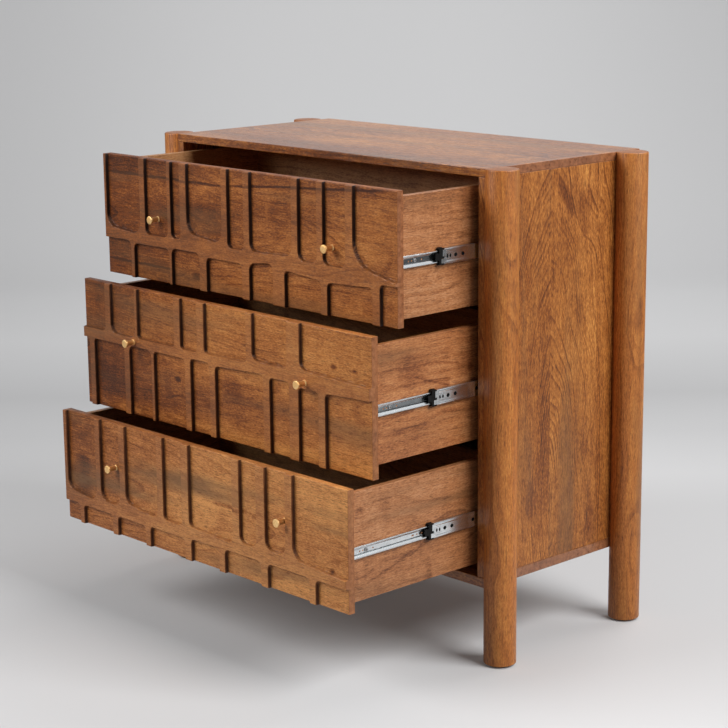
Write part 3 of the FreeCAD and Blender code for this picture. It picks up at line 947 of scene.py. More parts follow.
@dataclass
class Carcass:
    """The fixed case: panels, posts, glides and their fastenings.

    Attributes:
        side_wood: Wood of the side panels.
        top_wood: Wood of the top and bottom panels.
        post_wood: Wood of the posts.
    """

    side_wood: Wood
    top_wood: Wood
    post_wood: Wood

    def build(self, kit: "Hardware") -> None:
        """Builds and dresses every part of the case.

        Args:
            kit: The metal and plastic finishes.
        """
        self.panels()
        self.posts()
        self.glides(kit)
        dress("back_panel", Plywood(upright=True).material("back_panel_plywood", 0.3))
        dress("carcass_dowels", Wood(Grain.UPRIGHT, *BEECH).material("beech_dowel", Vector((0, 0, 0)), 5.0))
        for node in ("post_bolts", "back_panel_screws", "slide_cabinet_screws"):
            dress(node, kit.steel)

    def panels(self) -> None:
        """Builds the top, bottom and side panels."""
        for seed, node in enumerate(("top_panel", "bottom_panel")):
            finish = self.top_wood.material(node + "_wood", middle(node), 1.7 + seed)
            seat(eased_board(node, finish), node, "carcass")
        woods = (self.side_wood, replace(self.side_wood, marks=()))
        for seed, (node, wood) in enumerate(zip(("side_panel_right", "side_panel_left"), woods)):
            finish = wood.material(node + "_wood", middle(node), 2.3 + 3.1 * seed)
            seat(eased_board(node, finish, FINE_EASE), node, "carcass")

    def posts(self) -> None:
        """Builds the four posts."""
        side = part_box("side_panel_right")
        for index, place in enumerate(("front_right", "rear_right", "front_left", "rear_left")):
            node = "post_" + place
            low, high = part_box(node)
            x = high.x if high.x > 0 else -low.x
            radius = (high.y - low.y) / 2
            post = Post(node, x - radius, (low.y + high.y) / 2, radius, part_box("bottom_panel")[0].z, low.z, high.z,
                        side[1].x, side[0].y)
            finish = self.post_wood.material(node + "_wood", middle(node), 0.9 + 1.3 * index)
            seat(post.build(finish, mirror=high.x < 0), node, "carcass")

    def glides(self, kit: "Hardware") -> None:
        """Builds the four round glides under the posts.

        Args:
            kit: Finishes and repeated shapes.
        """
        shell = Shell()
        for low, high in solid_boxes("foot_glides"):
            x, y = (low.x + high.x) / 2, (low.y + high.y) / 2
            radius = (high.x - low.x) / 2
            shell.stack([circle(x, y, z, radius - inset * MM, 48) for z, inset in (
                (low.z, 1.4), (low.z + 0.4 * MM, 0.4), (low.z + 1.2 * MM, 0.0), (high.z, 0.0))])
        seat(shell.piece("foot_glides_moulded", kit.glide), "foot_glides", "carcass")


@dataclass(frozen=True)
class Field:
    """A sunk field of a carved front, in millimetres from the board's left end and top edge.

    Attributes:
        left: Its left wall.
        right: Its right wall.
        stop: Where it stops at its left, at its foot or its head.
        stop_right: Where it stops at its right.
        corner: Radius of its two inner corners.
        upper: Whether it runs out through the top edge, or else through the bottom edge.
    """

    left: float
    right: float
    stop: float
    stop_right: float
    corner: float
    upper: bool


def field_row(upper: bool, *sizes: tuple[float, float, float, float, float]) -> tuple[Field, ...]:
    """Makes a row of fields from left, right, both stops and corner radius."""
    return tuple(Field(*size, upper) for size in sizes)


OUT = 30.0
RIM_STEPS = np.array((0.0, 0.2, 0.5, 0.9, 1.5, 2.4))
WALL_STEPS = np.array((-2.4, -1.2, -0.75, -0.5, -0.25, 0.0, 0.25, 0.5, 0.75, 1.2, 2.2, 3.4, 5.0, 7.0, 9.0, 11.5, 14.5,
                       18.0, 22.0, 27.0, 32.0, 38.0))
FRONT_FIELDS = {
    "top": field_row(True, (7, 108, 134, 142, 24), (124, 190, 139, 139, 12), (200, 227, 138, 138, 10),
                     (246, 344, 124, 134, 24), (360, 404, 138, 138, 10), (420, 530, 138, 134, 16),
                     (546, 594, 139, 139, 16), (609, 664, 139, 139, 14), (682, 781 + OUT, 128, 156, 38))
    + field_row(False, (-OUT, 78, 157, 157, 10), (88, 193, 160, 160, 11), (200, 280, 158, 158, 12),
                (300, 398, 163, 163, 10), (418, 480, 160, 153, 12), (511, 603, 161, 168, 9), (619, 728, 169, 164, 9),
                (746, 781 + OUT, 156, 156, 9)),
    "middle": field_row(True, (-OUT, 70, 90, 90, 10), (86, 160, 90, 92, 18), (167, 275, 90, 90, 7),
                        (293, 340, 90, 90, 7), (360, 474, 88, 88, 7), (490, 580, 80, 82, 13),
                        (612, 781 + OUT, 78, 84, 15))
    + field_row(False, (-OUT, 18, 110, 110, 8), (33, 125, 110, 110, 7), (141, 206, 108, 108, 11),
                (214, 304, 108, 108, 8), (320, 373, 105, 105, 8), (389, 518, 108, 102, 9), (535, 585, 105, 105, 7),
                (609, 658, 110, 110, 8), (675, 781 + OUT, 110, 104, 9)),
    "bottom": field_row(True, (10, 100, 150, 158, 20), (114, 173, 153, 153, 22), (190, 285, 143, 153, 18),
                        (302, 355, 150, 150, 9), (375, 495, 147, 151, 11), (514, 558, 146, 146, 15),
                        (581, 633, 143, 143, 19), (651, 781 + OUT, 143, 154, 23))
    + field_row(False, (-OUT, 46, 175, 175, 8), (58, 148, 175, 175, 8), (164, 248, 175, 175, 8),
                (262, 362, 173, 173, 9), (380, 457, 170, 170, 9), (473, 569, 168, 168, 9), (587, 692, 168, 168, 9),
                (708, 781 + OUT, 168, 168, 9)),
}


@dataclass
class CarvedFront:
    """A drawer front with flat fields carved between raised ribs and a raised band.

    Attributes:
        drawer: Which drawer it closes.
        fields: The sunk fields, in millimetres.
        stain: How dark the walls are painted, with shade and with the stain that their end grain takes up.
        spread: How far this painted shade and stain reaches up and down the walls.
        depth: How deep the fields are, in millimetres.
        wall: Width of the walls with their rounded top and foot, in millimetres.
        ease: Radius of the board's own edges, in millimetres.
    """

    drawer: str
    fields: tuple[Field, ...]
    stain: float
    spread: float
    depth: float = 6.5
    wall: float = 1.5
    ease: float = 1.5

    def inside(self, x: np.ndarray, z: np.ndarray) -> np.ndarray:
        """Gives how far each point lies inside the nearest field.

        Args:
            x: Places from the left end.
            z: Places from the top edge.

        Returns:
            Distances, below zero on the raised wood.
        """
        nearest = np.full(x.shape, -100.0)
        for entry in self.fields:
            stop = np.interp(x, (entry.left, entry.right), (entry.stop, entry.stop_right))
            aside = np.minimum(x - entry.left, entry.right - x)
            ahead = stop - z if entry.upper else z - stop
            rounded = entry.corner - np.hypot(entry.corner - aside, entry.corner - ahead)
            both = (aside < entry.corner) & (ahead < entry.corner)
            nearest = np.maximum(nearest, np.where(both, rounded, np.minimum(aside, ahead)))
        return nearest

    def columns(self, width: float) -> np.ndarray:
        """Gives the places of the mesh columns, close together at the field walls.

        Args:
            width: Width of the board.

        Returns:
            The places, from left to right.
        """
        places = [np.arange(0.0, width, 7.0), RIM_STEPS, width - RIM_STEPS]
        for entry in self.fields:
            bend = WALL_STEPS[WALL_STEPS <= entry.corner + 1.0]
            places += [entry.left + bend, entry.right - bend]
        return self.spaced(np.concatenate(places), width, 0.24)

    def rows(self, height: float) -> np.ndarray:
        """Gives the places of the mesh rows, close together where fields stop.

        Args:
            height: Height of the board.

        Returns:
            The places, from the top down.
        """
        places = [np.arange(0.0, height, 7.0), RIM_STEPS, height - RIM_STEPS]
        stops = [stop for entry in self.fields for stop in (entry.stop, entry.stop_right)]
        places.append(np.arange(min(stops) - 14.0, max(stops) + 14.0, 0.9))
        return self.spaced(np.concatenate(places), height, 0.19)

    @staticmethod
    def spaced(places: np.ndarray, end: float, least: float) -> np.ndarray:
        """Sorts places and drops those that lie too close to the one before.

        Args:
            places: Places in any order.
            end: The last place allowed.
            least: The least distance between two places.

        Returns:
            The places kept, from 0 to end.
        """
        kept = [0.0]
        for place in np.sort(places):
            if kept[-1] + least <= place <= end - least:
                kept.append(float(place))
        return np.array(kept + [end])

    def build(self, finish: Finish) -> Piece:
        """Makes the carved board.

        Args:
            finish: Its wood.

        Returns:
            The front.
        """
        node = self.drawer + "_drawer_front"
        low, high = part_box(node)
        width, height = (high.x - low.x) / MM, (high.z - low.z) / MM
        x, z = np.meshgrid(self.columns(width), self.rows(height))
        inside = self.inside(x, z)
        sunk = self.sunk(inside, np.minimum(np.minimum(x, width - x), np.minimum(z, height - z)))
        points = np.stack((low.x + x * MM, low.y + sunk * MM, high.z - z * MM), axis=-1).reshape(-1, 3)
        shell = Shell()
        numbers = np.array(shell.add([tuple(point) for point in points.tolist()])).reshape(x.shape)
        quads = np.stack((numbers[:-1, :-1], numbers[1:, :-1], numbers[1:, 1:], numbers[:-1, 1:]), axis=-1)
        shell.faces.extend(tuple(face) for face in quads.reshape(-1, 4).tolist())
        rim = np.concatenate((numbers[0, :-1], numbers[:-1, -1], numbers[-1, :0:-1], numbers[:0:-1, 0])).tolist()
        self.close(shell, rim, low, high)
        piece = shell.piece(node + "_carved", finish, 50.0)
        step = 0.2
        self.shade(piece, inside, np.abs(self.inside(x + step, z) - self.inside(x - step, z)) / (2 * step))
        return piece

    def sunk(self, inside: np.ndarray, edge: np.ndarray) -> np.ndarray:
        """Gives how deep each point of the face lies.

        Args:
            inside: How far it lies inside a field.
            edge: How far it lies from the nearest edge of the board.

        Returns:
            Depths in millimetres.
        """
        part = np.clip(inside / self.wall + 0.5, 0.0, 1.0)
        short = np.clip(self.ease - edge, 0.0, self.ease)
        rounded = self.ease - np.sqrt(self.ease ** 2 - short ** 2)
        return self.depth * part * part * (3.0 - 2.0 * part) + rounded

    @staticmethod
    def close(shell: Shell, rim: list[int], low: Vector, high: Vector, chamfer: float = 1.0 * MM) -> None:
        """Adds the board's edges and its chamfered back.

        Args:
            shell: The carved face.
            rim: The points round its edge.
            low: Lowest corner of the board.
            high: Its highest corner.
            chamfer: Width of the chamfer.
        """
        ends = [(shell.points[i][0], shell.points[i][2]) for i in rim]
        outer = shell.add([(x, high.y - chamfer, z) for x, z in ends])
        inner = shell.add([(min(max(x, low.x + chamfer), high.x - chamfer), high.y,
                            min(max(z, low.z + chamfer), high.z - chamfer)) for x, z in ends])
        shell.band(rim, outer)
        shell.band(outer, inner)
        shell.faces.append(tuple(inner))

    def shade(self, piece: Piece, inside: np.ndarray, end_grain: np.ndarray) -> None:
        """Stores the painted shade and stain in the walls of the carving and on the field floor beside them, and
        where the wood stands raised.

        Args:
            piece: The carved board.
            inside: How far each point of its face lies inside a field.
            end_grain: How squarely the wall near each point cuts the grain, 0 to 1.
        """
        # Near-black painted shade in the walls, strongest where they cut the end grain, which also takes up more
        # stain, and a fainter painted shade on the field floor that fades away from each wall.
        wall = np.clip(self.spread - np.abs(inside - 0.15) / 0.55, 0.0, 1.0) * (0.58 + 0.40 * end_grain ** 1.5)
        floor_shade = np.where(inside > 0.0, 0.20 * np.exp(-np.abs(inside) / 6.0), 0.0)
        wall = np.maximum(wall * self.stain, floor_shade)
        raised = np.clip(0.5 - inside / 1.6, 0.0, 1.0)
        for name, field in (("carve", wall), ("raised", raised)):
            layer = piece.data.attributes.new(name, "FLOAT", "POINT")
            values = np.zeros(len(piece.data.vertices), dtype=np.float32)
            values[:field.size] = field.reshape(-1)
            layer.data.foreach_set("value", values)


@dataclass
class Knob:
    """A small turned brass knob with a flat round face.

    Attributes:
        neck: Radius of the neck.
        base: Radius of the foot on the wood.
        face: Thickness of the round face.
        foot: Thickness of the foot.
    """

    neck: float = 4.75 * MM
    base: float = 5.5 * MM
    face: float = 3.5 * MM
    foot: float = 2.0 * MM

    def profile(self, length: float, radius: float) -> list[tuple[float, float]]:
        """Gives the turned outline from the wood to the face.

        Args:
            length: How far the knob stands out.
            radius: Radius of its face.

        Returns:
            Radius and distance from the wood for each point.
        """
        back = length - self.face
        return [(self.base, 0.0), (self.base, self.foot - 0.5 * MM), (self.base - 0.4 * MM, self.foot - 0.1 * MM),
                (self.neck + 0.5 * MM, self.foot + 0.15 * MM), (self.neck, self.foot + 0.9 * MM),
                (self.neck, back - 1.4 * MM), (self.neck + 0.6 * MM, back - 0.4 * MM),
                (self.neck + 1.3 * MM, back), (radius - 0.6 * MM, back), (radius, back + 0.6 * MM),
                (radius, length - 0.7 * MM), (radius - 0.25 * MM, length - 0.25 * MM), (radius - 0.8 * MM, length),
                (radius * 0.55, length), (radius * 0.2, length)]

    def build(self, drawer: str, finish: Finish) -> Piece:
        """Makes both knobs of a drawer.

        Args:
            drawer: The drawer.
            finish: Their brass.

        Returns:
            One piece with both knobs.
        """
        shell = Shell()
        for low, high in solid_boxes(drawer + "_knobs"):
            x, z = (low.x + high.x) / 2, (low.z + high.z) / 2
            radius = (high.x - low.x) / 2
            loops = []
            for reach, out in self.profile(high.y - low.y, radius):
                loops.append([(px, high.y - out, z + py) for px, py, _ in circle(x, 0.0, 0.0, reach, 40)])
            shell.stack(loops)
        return shell.piece(drawer + "_knobs_turned", finish, 32.0)


def bent_line(corners: list[tuple[float, float]], radius: float, steps: int = 5) -> list[tuple[float, float]]:
    """Rounds the corners of a folded line.

    Args:
        corners: Ends and corners of the line.
        radius: Radius of each bend.
        steps: Points on each bend.

    Returns:
        The points of the rounded line.
    """
    line = [Vector(corners[0])]
    for before, corner, after in zip(corners, corners[1:], corners[2:]):
        corner_at = Vector(corner)
        way_in, way_out = (Vector(before) - corner_at), (Vector(after) - corner_at)
        reach = min(radius, way_in.length * 0.48, way_out.length * 0.48)
        start, end = corner_at + way_in.normalized() * reach, corner_at + way_out.normalized() * reach
        for step in range(steps + 1):
            t = step / steps
            line.append(start * (1 - t) ** 2 + corner_at * 2 * t * (1 - t) + end * t ** 2)
    line.append(Vector(corners[-1]))
    return [(point.x, point.y) for point in line]


def strip_outline(line: list[tuple[float, float]], wall: float) -> list[tuple[float, float]]:
    """Gives a folded line the thickness of a sheet.

    Args:
        line: Points of the line.
        wall: The thickness.

    Returns:
        The closed outline.
    """
    points = [Vector(point) for point in line]
    sides: list[list[tuple[float, float]]] = [[], []]
    for index, point in enumerate(points):
        ahead = (points[min(index + 1, len(points) - 1)] - points[max(index - 1, 0)]).normalized()
        off = Vector((-ahead.y, ahead.x)) * wall / 2
        sides[0].append(tuple(point + off))
        sides[1].append(tuple(point - off))
    return sides[0] + sides[1][::-1]


class NodeTool:
    """A Geometry Nodes tree with named inputs that turns an object into a finished piece."""

    def __init__(self, name: str, **kinds: str) -> None:
        """Starts the tree.

        Args:
            name: The tree's name.
            **kinds: Kind of each named input, besides the start and the finish.
        """
        self.tree = bpy.data.node_groups.new(name, "GeometryNodeTree")
        face = self.tree.interface
        face.new_socket("Start", in_out="INPUT", socket_type="NodeSocketGeometry")
        self.inputs = {key: face.new_socket(key, in_out="INPUT", socket_type="NodeSocket" + kind).identifier
                       for key, kind in {**kinds, "Finish": "Material"}.items()}
        face.new_socket("Result", in_out="OUTPUT", socket_type="NodeSocketGeometry")
        self.graph = Graph(self.tree)
        self.given = self.graph.add("NodeGroupInput").outputs

    def end(self, shape: Wire) -> None:
        """Makes a shape real, sets its finish and ends the tree.

        Args:
            shape: The shape.
        """
        real = self.graph.wire("GeometryNodeRealizeInstances", {0: shape})
        paint = self.graph.wire("GeometryNodeSetMaterial", {"Geometry": real, "Material": self.given["Finish"]})
        self.graph.add("NodeGroupOutput", {0: paint})

    def run(self, source: Piece, name: str, finish: Finish, **values: object) -> Piece:
        """Runs the tree on an object and keeps the result as a plain mesh.

        Args:
            source: The object that the tree starts from, which is used up.
            name: Name of the result.
            finish: Its material.
            **values: Values of the other inputs, whose objects are used up.

        Returns:
            The new piece.
        """
        modifier = source.modifiers.new("nodes", "NODES")
        modifier.node_group = self.tree
        for key, value in {**values, "Finish": finish}.items():
            modifier[self.inputs[key]] = value
        graph = bpy.context.evaluated_depsgraph_get()
        graph.update()
        mesh = bpy.data.meshes.new_from_object(source.evaluated_get(graph), depsgraph=graph)
        source.modifiers.remove(modifier)
        for used in (source, *values.values()):
            if isinstance(used, Piece):
                bpy.data.objects.remove(used)
        mesh.name = name
        return show(name, mesh, finish, SHARP)


def dots(name: str, places: Loop) -> Piece:
    """Puts an object of loose points in the scene, for a tree to work from.

    Args:
        name: Its name.
        places: The points.

    Returns:
        The object.
    """
    mesh = bpy.data.meshes.new(name)
    mesh.from_pydata(places, [], [])
    holder = bpy.data.objects.new(name, mesh)
    bpy.context.scene.collection.objects.link(holder)
    return holder


class Perforation(NodeTool):
    """Punches round or long holes through thin sheet metal with Geometry Nodes."""

    depth = 4 * MM

    def __init__(self) -> None:
        """Builds the tree once."""
        super().__init__("punched_holes", Places="Object", Radius="Float", Stretch="Float", Sides="Int")
        graph, given = self.graph, self.given
        places = graph.wire("GeometryNodeObjectInfo", {"Object": given["Places"]}, "Geometry")
        drill = graph.wire("GeometryNodeMeshCylinder", {"Vertices": given["Sides"], "Depth": self.depth,
                                                        "Radius": given["Radius"]}, "Mesh")
        squared = graph.wire("GeometryNodeTransform", {"Geometry": drill, "Rotation": (0.0, 0.0, math.pi / 8)})
        holes = graph.wire("GeometryNodeInstanceOnPoints", {"Points": places, "Instance": squared,
                                                            "Rotation": (0.0, math.pi / 2, 0.0),
                                                            "Scale": graph.join(1.0, given["Stretch"], 1.0)})
        real = graph.wire("GeometryNodeRealizeInstances", {0: holes})
        self.end(graph.wire("GeometryNodeMeshBoolean", {"Mesh 1": given["Start"], "Mesh 2": real},
                            operation="DIFFERENCE", solver="EXACT"))

    def punch(self, sheet: Piece, places: Loop, radius: float, stretch: float, sides: int) -> Piece:
        """Punches holes whose axes run across the chest.

        Args:
            sheet: The piece, which is used up.
            places: Middles of the holes.
            radius: Radius of each hole.
            stretch: How many times longer than high each hole is.
            sides: Sides of the punch.

        Returns:
            The punched piece under the same name.
        """
        return self.run(sheet, sheet.name, sheet.data.materials[0], Places=dots("hole_places", places),
                        Radius=radius, Stretch=stretch, Sides=sides)


def joined(first: Piece, second: Piece) -> Piece:
    """Adds one piece's mesh to another.

    Args:
        first: The piece that is kept.
        second: The piece that is used up.

    Returns:
        The piece that is kept.
    """
    whole = bmesh.new()
    whole.from_mesh(first.data)
    whole.from_mesh(second.data)
    whole.to_mesh(first.data)
    whole.free()
    bpy.data.objects.remove(second)
    return first


class FastenerRow(NodeTool):
    """Sets the same small screw at many places with Geometry Nodes."""

    def __init__(self) -> None:
        """Builds the tree once."""
        super().__init__("fastener_row", Screw="Object", Size="Float", Seed="Int")
        graph, given = self.graph, self.given
        screw = graph.wire("GeometryNodeObjectInfo", {"Object": given["Screw"]}, "Geometry")
        facing = graph.wire("GeometryNodeInputNamedAttribute", {"Name": "facing"}, data_type="FLOAT_VECTOR")
        aim = graph.wire("FunctionNodeAlignRotationToVector", {"Vector": facing}, axis="Z")
        turn = graph.wire("FunctionNodeRandomValue", {"Max": math.pi, "Seed": given["Seed"]}, 1, data_type="FLOAT")
        spin = graph.wire("FunctionNodeAxisAngleToRotation", {"Angle": turn})
        spun = graph.wire("FunctionNodeRotateRotation", {0: aim, 1: spin}, rotation_space="LOCAL")
        self.end(graph.wire("GeometryNodeInstanceOnPoints", {"Points": given["Start"], "Instance": screw,
                                                             "Rotation": spun, "Scale": given["Size"]}))

    @staticmethod
    def pan_screw() -> Piece:
        """Makes a pan-head screw with a cross slot that faces up.

        Returns:
            The screw, one unit in radius.
        """
        ring = [(math.cos(step * math.pi / 8), math.sin(step * math.pi / 8)) for step in range(16)]
        cross = []
        for quarter in range(4):
            turn = Matrix.Rotation(quarter * math.pi / 2, 2)
            cross += [turn @ Vector(point) for point in ((0.56, 0.0), (0.56, 0.11), (0.13, 0.13), (0.11, 0.56))]
        turned = ((0.45, -2.2), (0.45, -0.02), (1.0, 0.0), (1.0, 0.28), (0.9, 0.5), (0.7, 0.58))
        loops = [[(x * r, y * r, z) for x, y in ring] for r, z in turned]
        loops.append([(point.x, point.y, 0.58) for point in cross])
        loops.append([(point.x * 0.8, point.y * 0.8, 0.2) for point in cross])
        shell = Shell()
        shell.stack(loops)
        return shell.piece("pan_screw", bpy.data.materials.new("screw_blank"), 40.0)

    def place(self, name: str, places: Loop, facing: Loop, radius: float, seed: int, finish: Finish) -> Piece:
        """Sets screws at places.

        Args:
            name: Name of the piece.
            places: Where each head meets what it holds.
            facing: The way each head faces.
            radius: Radius of the heads.
            seed: Fixes how the slots are turned.
            finish: Their steel.

        Returns:
            One piece with all the screws.
        """
        holder = dots(name + "_places", places)
        layer = holder.data.attributes.new("facing", "FLOAT_VECTOR", "POINT")
        layer.data.foreach_set("vector", [value for way in facing for value in way])
        return self.run(holder, name, finish, Screw=self.pan_screw(), Size=radius, Seed=seed)


SCREW_HOLES = (20, 27, 50, 152, 163, 214)
LONG_HOLES = (142, 186, 258)
SLOTS = (27, 44, 96, 160, 230)
FRONT_SLOTS = (7.6, 14.5)
BRACKET_RIBS = ((0.6, 4.2, -0.86, -0.22), (0.6, 4.2, 0.22, 0.86), (4.6, 18.0, 0.32, 0.44), (4.6, 18.0, -0.44, -0.32),
                (-6.8, 0.4, -0.82, -0.26), (-3.6, 0.4, 0.02, 0.82))


@dataclass
class Slide:
    """The pair of ball bearing slides of one drawer.

    Attributes:
        drawer: The drawer.
        wall: Thickness of the sheet steel.
        bend: Radius of its bends.
        drawer_lip: Height of the lips along the drawer member.
        lean: How far these lips lean in over the web.
        slot_depth: Depth of the dark slots in the middle member.
        inner_lip: Height of the lips along the other members.
        hollow: How far the middle member's web is pressed in between its ball tracks.
        cap_nose: Length of the low nose in front of the black cap.
        cap_wall: Thickness of the black cap outside the drawer member.
        painted_web_shade: Whether a darker zinc paints shade on the webs of the drawer members.
    """

    drawer: str
    wall: float = 1.0 * MM
    bend: float = 2.0 * MM
    drawer_lip: float = 5.0 * MM
    lean: float = 2.9 * MM
    slot_depth: float = 0.7 * MM
    inner_lip: float = 2.4 * MM
    hollow: float = 0.5 * MM
    cap_nose: float = 8.5 * MM
    cap_wall: float = 1.9 * MM
    painted_web_shade: bool = True

    def channel(self, node: str, opens_out: bool, lip: float, hollow: float = 0.0, lean: float = 0.0) -> Shell:
        """Makes a rolled channel on the right side, inside the node's own box.

        Args:
            node: The member's node.
            opens_out: Whether the open side faces away from the drawer.
            lip: Height of the lips turned in at the tips.
            hollow: How far the middle of the web is pressed in.
            lean: How far the lips lean in over the web.

        Returns:
            The shell with one channel.
        """
        low, high = solid_boxes(node)[-1]
        half = (high.z - low.z) / 2
        edge, near, far = half - self.wall / 2, self.wall / 2, high.x - low.x - self.wall / 2
        web = [(near, edge), (near, -edge)]
        if hollow:
            web[1:1] = [(near, half * 0.66), (near + hollow, half * 0.56), (near + hollow, -half * 0.56),
                        (near, -half * 0.66)]
        corners = [(far - lean, edge - lip), (far, edge)] + web + [(far, -edge), (far - lean, -edge + lip)]
        outline = strip_outline(bent_line(corners, self.bend), self.wall)
        level = (low.z + high.z) / 2
        section = [(low.x + p if opens_out else high.x - p, level + q) for p, q in outline]
        shell = Shell()
        shell.stack([[(x, y, z) for x, z in section] for y in (low.y, high.y)])
        return shell

    def build(self, kit: "Hardware") -> None:
        """Makes the members, caps and screws of both slides.

        Args:
            kit: Finishes and repeated shapes.
        """
        name = self.drawer + "_slide_"
        self.drawer_members(kit)
        self.middle_members(kit)
        outer = self.channel(name + "cabinet_members", False, self.inner_lip).mirrored().piece(
            name + "cabinet_members_rolled", kit.zinc, SHARP)
        seat(outer, name + "cabinet_members", "carcass")
        self.caps(kit)
        self.screws(kit)
        dress(name + "outer_cages", kit.steel)
        dress(name + "inner_cages", kit.steel)

    def drawer_members(self, kit: "Hardware") -> None:
        """Makes the members that are screwed to the drawer.

        Args:
            kit: Finishes and repeated shapes.
        """
        node = self.drawer + "_slide_drawer_members"
        low, high = solid_boxes(node)[-1]
        shell = self.channel(node, True, self.drawer_lip, lean=self.lean).mirrored()
        pair = shell.piece(node + "_rolled", kit.zinc, SHARP)
        web, level = low.x + self.wall / 2, (low.z + high.z) / 2
        pair = self.punched(kit, pair, web, level, low.y, SCREW_HOLES, 1.5 * MM, 1.0, 16)
        pair = self.punched(kit, pair, web, level, low.y, LONG_HOLES, 1.6 * MM, 2.0, 16)
        if self.painted_web_shade:
            # A darker zinc on the web between the lips paints the shade and dark reflection that lie there.
            pair.data.materials.append(kit.painted_web_shade)
            for part in pair.data.polygons:
                if abs(part.normal.x) > 0.9 and abs(part.center.x) < low.x + 1.5 * self.wall:
                    part.material_index = 1
        seat(pair, node, self.drawer + "_drawer")

    def middle_members(self, kit: "Hardware") -> None:
        """Makes the members between drawer and case, with a stop bracket pressed at their front ends.

        Args:
            kit: Finishes and repeated shapes.
        """
        node = self.drawer + "_slide_middle_members"
        low, high = solid_boxes(node)[-1]
        level = (low.z + high.z) / 2
        shell = self.channel(node, False, self.inner_lip, self.hollow).mirrored()
        pair = shell.piece(node + "_rolled", kit.zinc, SHARP)
        face = high.x - self.hollow
        drill = face + kit.punch.depth / 2 - self.slot_depth
        pair = self.punched(kit, pair, drill, level, low.y, SLOTS, 3.5 * MM, 1.1, 8)
        pair = self.punched(kit, pair, drill, level, low.y, FRONT_SLOTS, 3.3 * MM, 0.62, 8)
        # The floors of the shallow slots get a near-black plastic that paints the shade inside them.
        pair.data.materials.append(kit.shadow)
        for part in pair.data.polygons:
            inner = abs(part.center.x) < face - 0.05 * MM and abs(part.center.z - level) < 3.6 * MM
            if inner and abs(part.center.x) > face - self.slot_depth - 0.05 * MM:
                part.material_index = 1
        bracket = self.ribs(low, high).mirrored().piece(node + "_bracket", kit.zinc, SHARP)
        seat(joined(pair, bracket), node, self.drawer + "_slide_middle")

    def ribs(self, low: Vector, high: Vector) -> Shell:
        """Makes the pressed ribs and tabs on the right-hand middle member.

        Args:
            low: Lowest corner of the member.
            high: Its highest corner.

        Returns:
            The ribs.
        """
        level, half = (low.z + high.z) / 2, (high.z - low.z) / 2
        ribs = Shell()
        for start, end, foot, head in BRACKET_RIBS:
            face = high.x - (0.0 if abs(foot) > 0.7 or abs(head) > 0.7 else self.hollow)
            loops = []
            for rise, inset in ((-0.4 * MM, 0.0), (0.35 * MM, 0.0), (0.6 * MM, 0.3 * MM)):
                y0, y1 = low.y + start * MM + inset, low.y + end * MM - inset
                z0, z1 = level + foot * half + inset, level + head * half - inset
                loops.append([(face + rise, y, z) for y, z in ((y0, z0), (y1, z0), (y1, z1), (y0, z1))])
            ribs.stack(loops)
        return ribs

    @staticmethod
    def punched(kit: "Hardware", piece: Piece, web: float, level: float, start: float, steps: tuple[float, ...],
                radius: float, stretch: float, sides: int) -> Piece:
        """Punches one row of holes through both members of a pair.

        Args:
            kit: Holds the punch.
            piece: The pair.
            web: Place of the right-hand web.
            level: Height of the row.
            start: Front end of the member.
            steps: Millimetres from the front end to each hole.
            radius: Radius of the holes.
            stretch: How many times longer than high they are.
            sides: Sides of the punch.

        Returns:
            The punched pair.
        """
        places = [(side * web, start + step * MM, level) for side in (1, -1) for step in steps]
        return kit.punch.punch(piece, places, radius, stretch, sides)

    def caps(self, kit: "Hardware") -> None:
        """Makes the black caps at the front ends of the middle members.

        Args:
            kit: Finishes and repeated shapes.
        """
        node = self.drawer + "_slide_end_caps"
        low, high = solid_boxes(node)[-1]
        level, half = (low.z + high.z) / 2, (high.z - low.z) / 2
        body, face = low.y + self.cap_nose, high.x - self.cap_wall
        member = solid_boxes(self.drawer + "_slide_drawer_members")[-1]
        gap, rim = (member[1].z - member[0].z) / 2 + 0.4 * MM, half + 1.0 * MM
        shell = Shell()
        edge, collar, skin = half - 0.2 * MM, low.x + 1.3 * MM, high.x - 0.4 * MM
        for start, end, front, foot, head in ((face, high.x, body, -edge, edge),
                                              (low.x, skin, body, gap, edge), (low.x, skin, body, -edge, -gap),
                                              (low.x, collar, body, gap, rim), (low.x, collar, body, -rim, -gap),
                                              (face, high.x - 0.3 * MM, low.y, -half * 0.42, half * 0.42)):
            loops = []
            for back, inset in ((0.0, 0.9 * MM), (0.3 * MM, 0.3 * MM), (0.9 * MM, 0.0), (high.y - front, 0.0)):
                y, z0, z1 = front + back, level + foot + inset, level + head - inset
                x0, x1 = start + inset * 0.3, end - inset * 0.3
                loops.append([(x0, y, z0), (x1, y, z0), (x1, y, z1), (x0, y, z1)])
            shell.stack(loops)
        seat(shell.mirrored().piece(node + "_moulded", kit.cap, 30.0), node, self.drawer + "_slide_middle")

    def screws(self, kit: "Hardware") -> None:
        """Sets the screws that hold the drawer members and the knobs.

        Args:
            kit: Finishes and repeated shapes.
        """
        node = self.drawer + "_slide_drawer_screws"
        web = solid_boxes(self.drawer + "_slide_drawer_members")[-1][0].x + self.wall
        places, facing = [], []
        for low, high in solid_boxes(node):
            side = 1.0 if high.x > 0 else -1.0
            places.append((side * web, (low.y + high.y) / 2, (low.z + high.z) / 2))
            facing.append((side, 0.0, 0.0))
        seat(kit.row.place(node + "_set", places, facing, 3.4 * MM, 3, kit.steel), node, self.drawer + "_drawer")
        node = self.drawer + "_knob_screws"
        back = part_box(self.drawer + "_drawer_front")[1].y
        places = [((low.x + high.x) / 2, back, (low.z + high.z) / 2) for low, high in solid_boxes(node)]
        facing = [(0.0, 1.0, 0.0)] * len(places)
        seat(kit.row.place(node + "_set", places, facing, 3.6 * MM, 7, kit.steel), node, self.drawer + "_drawer")


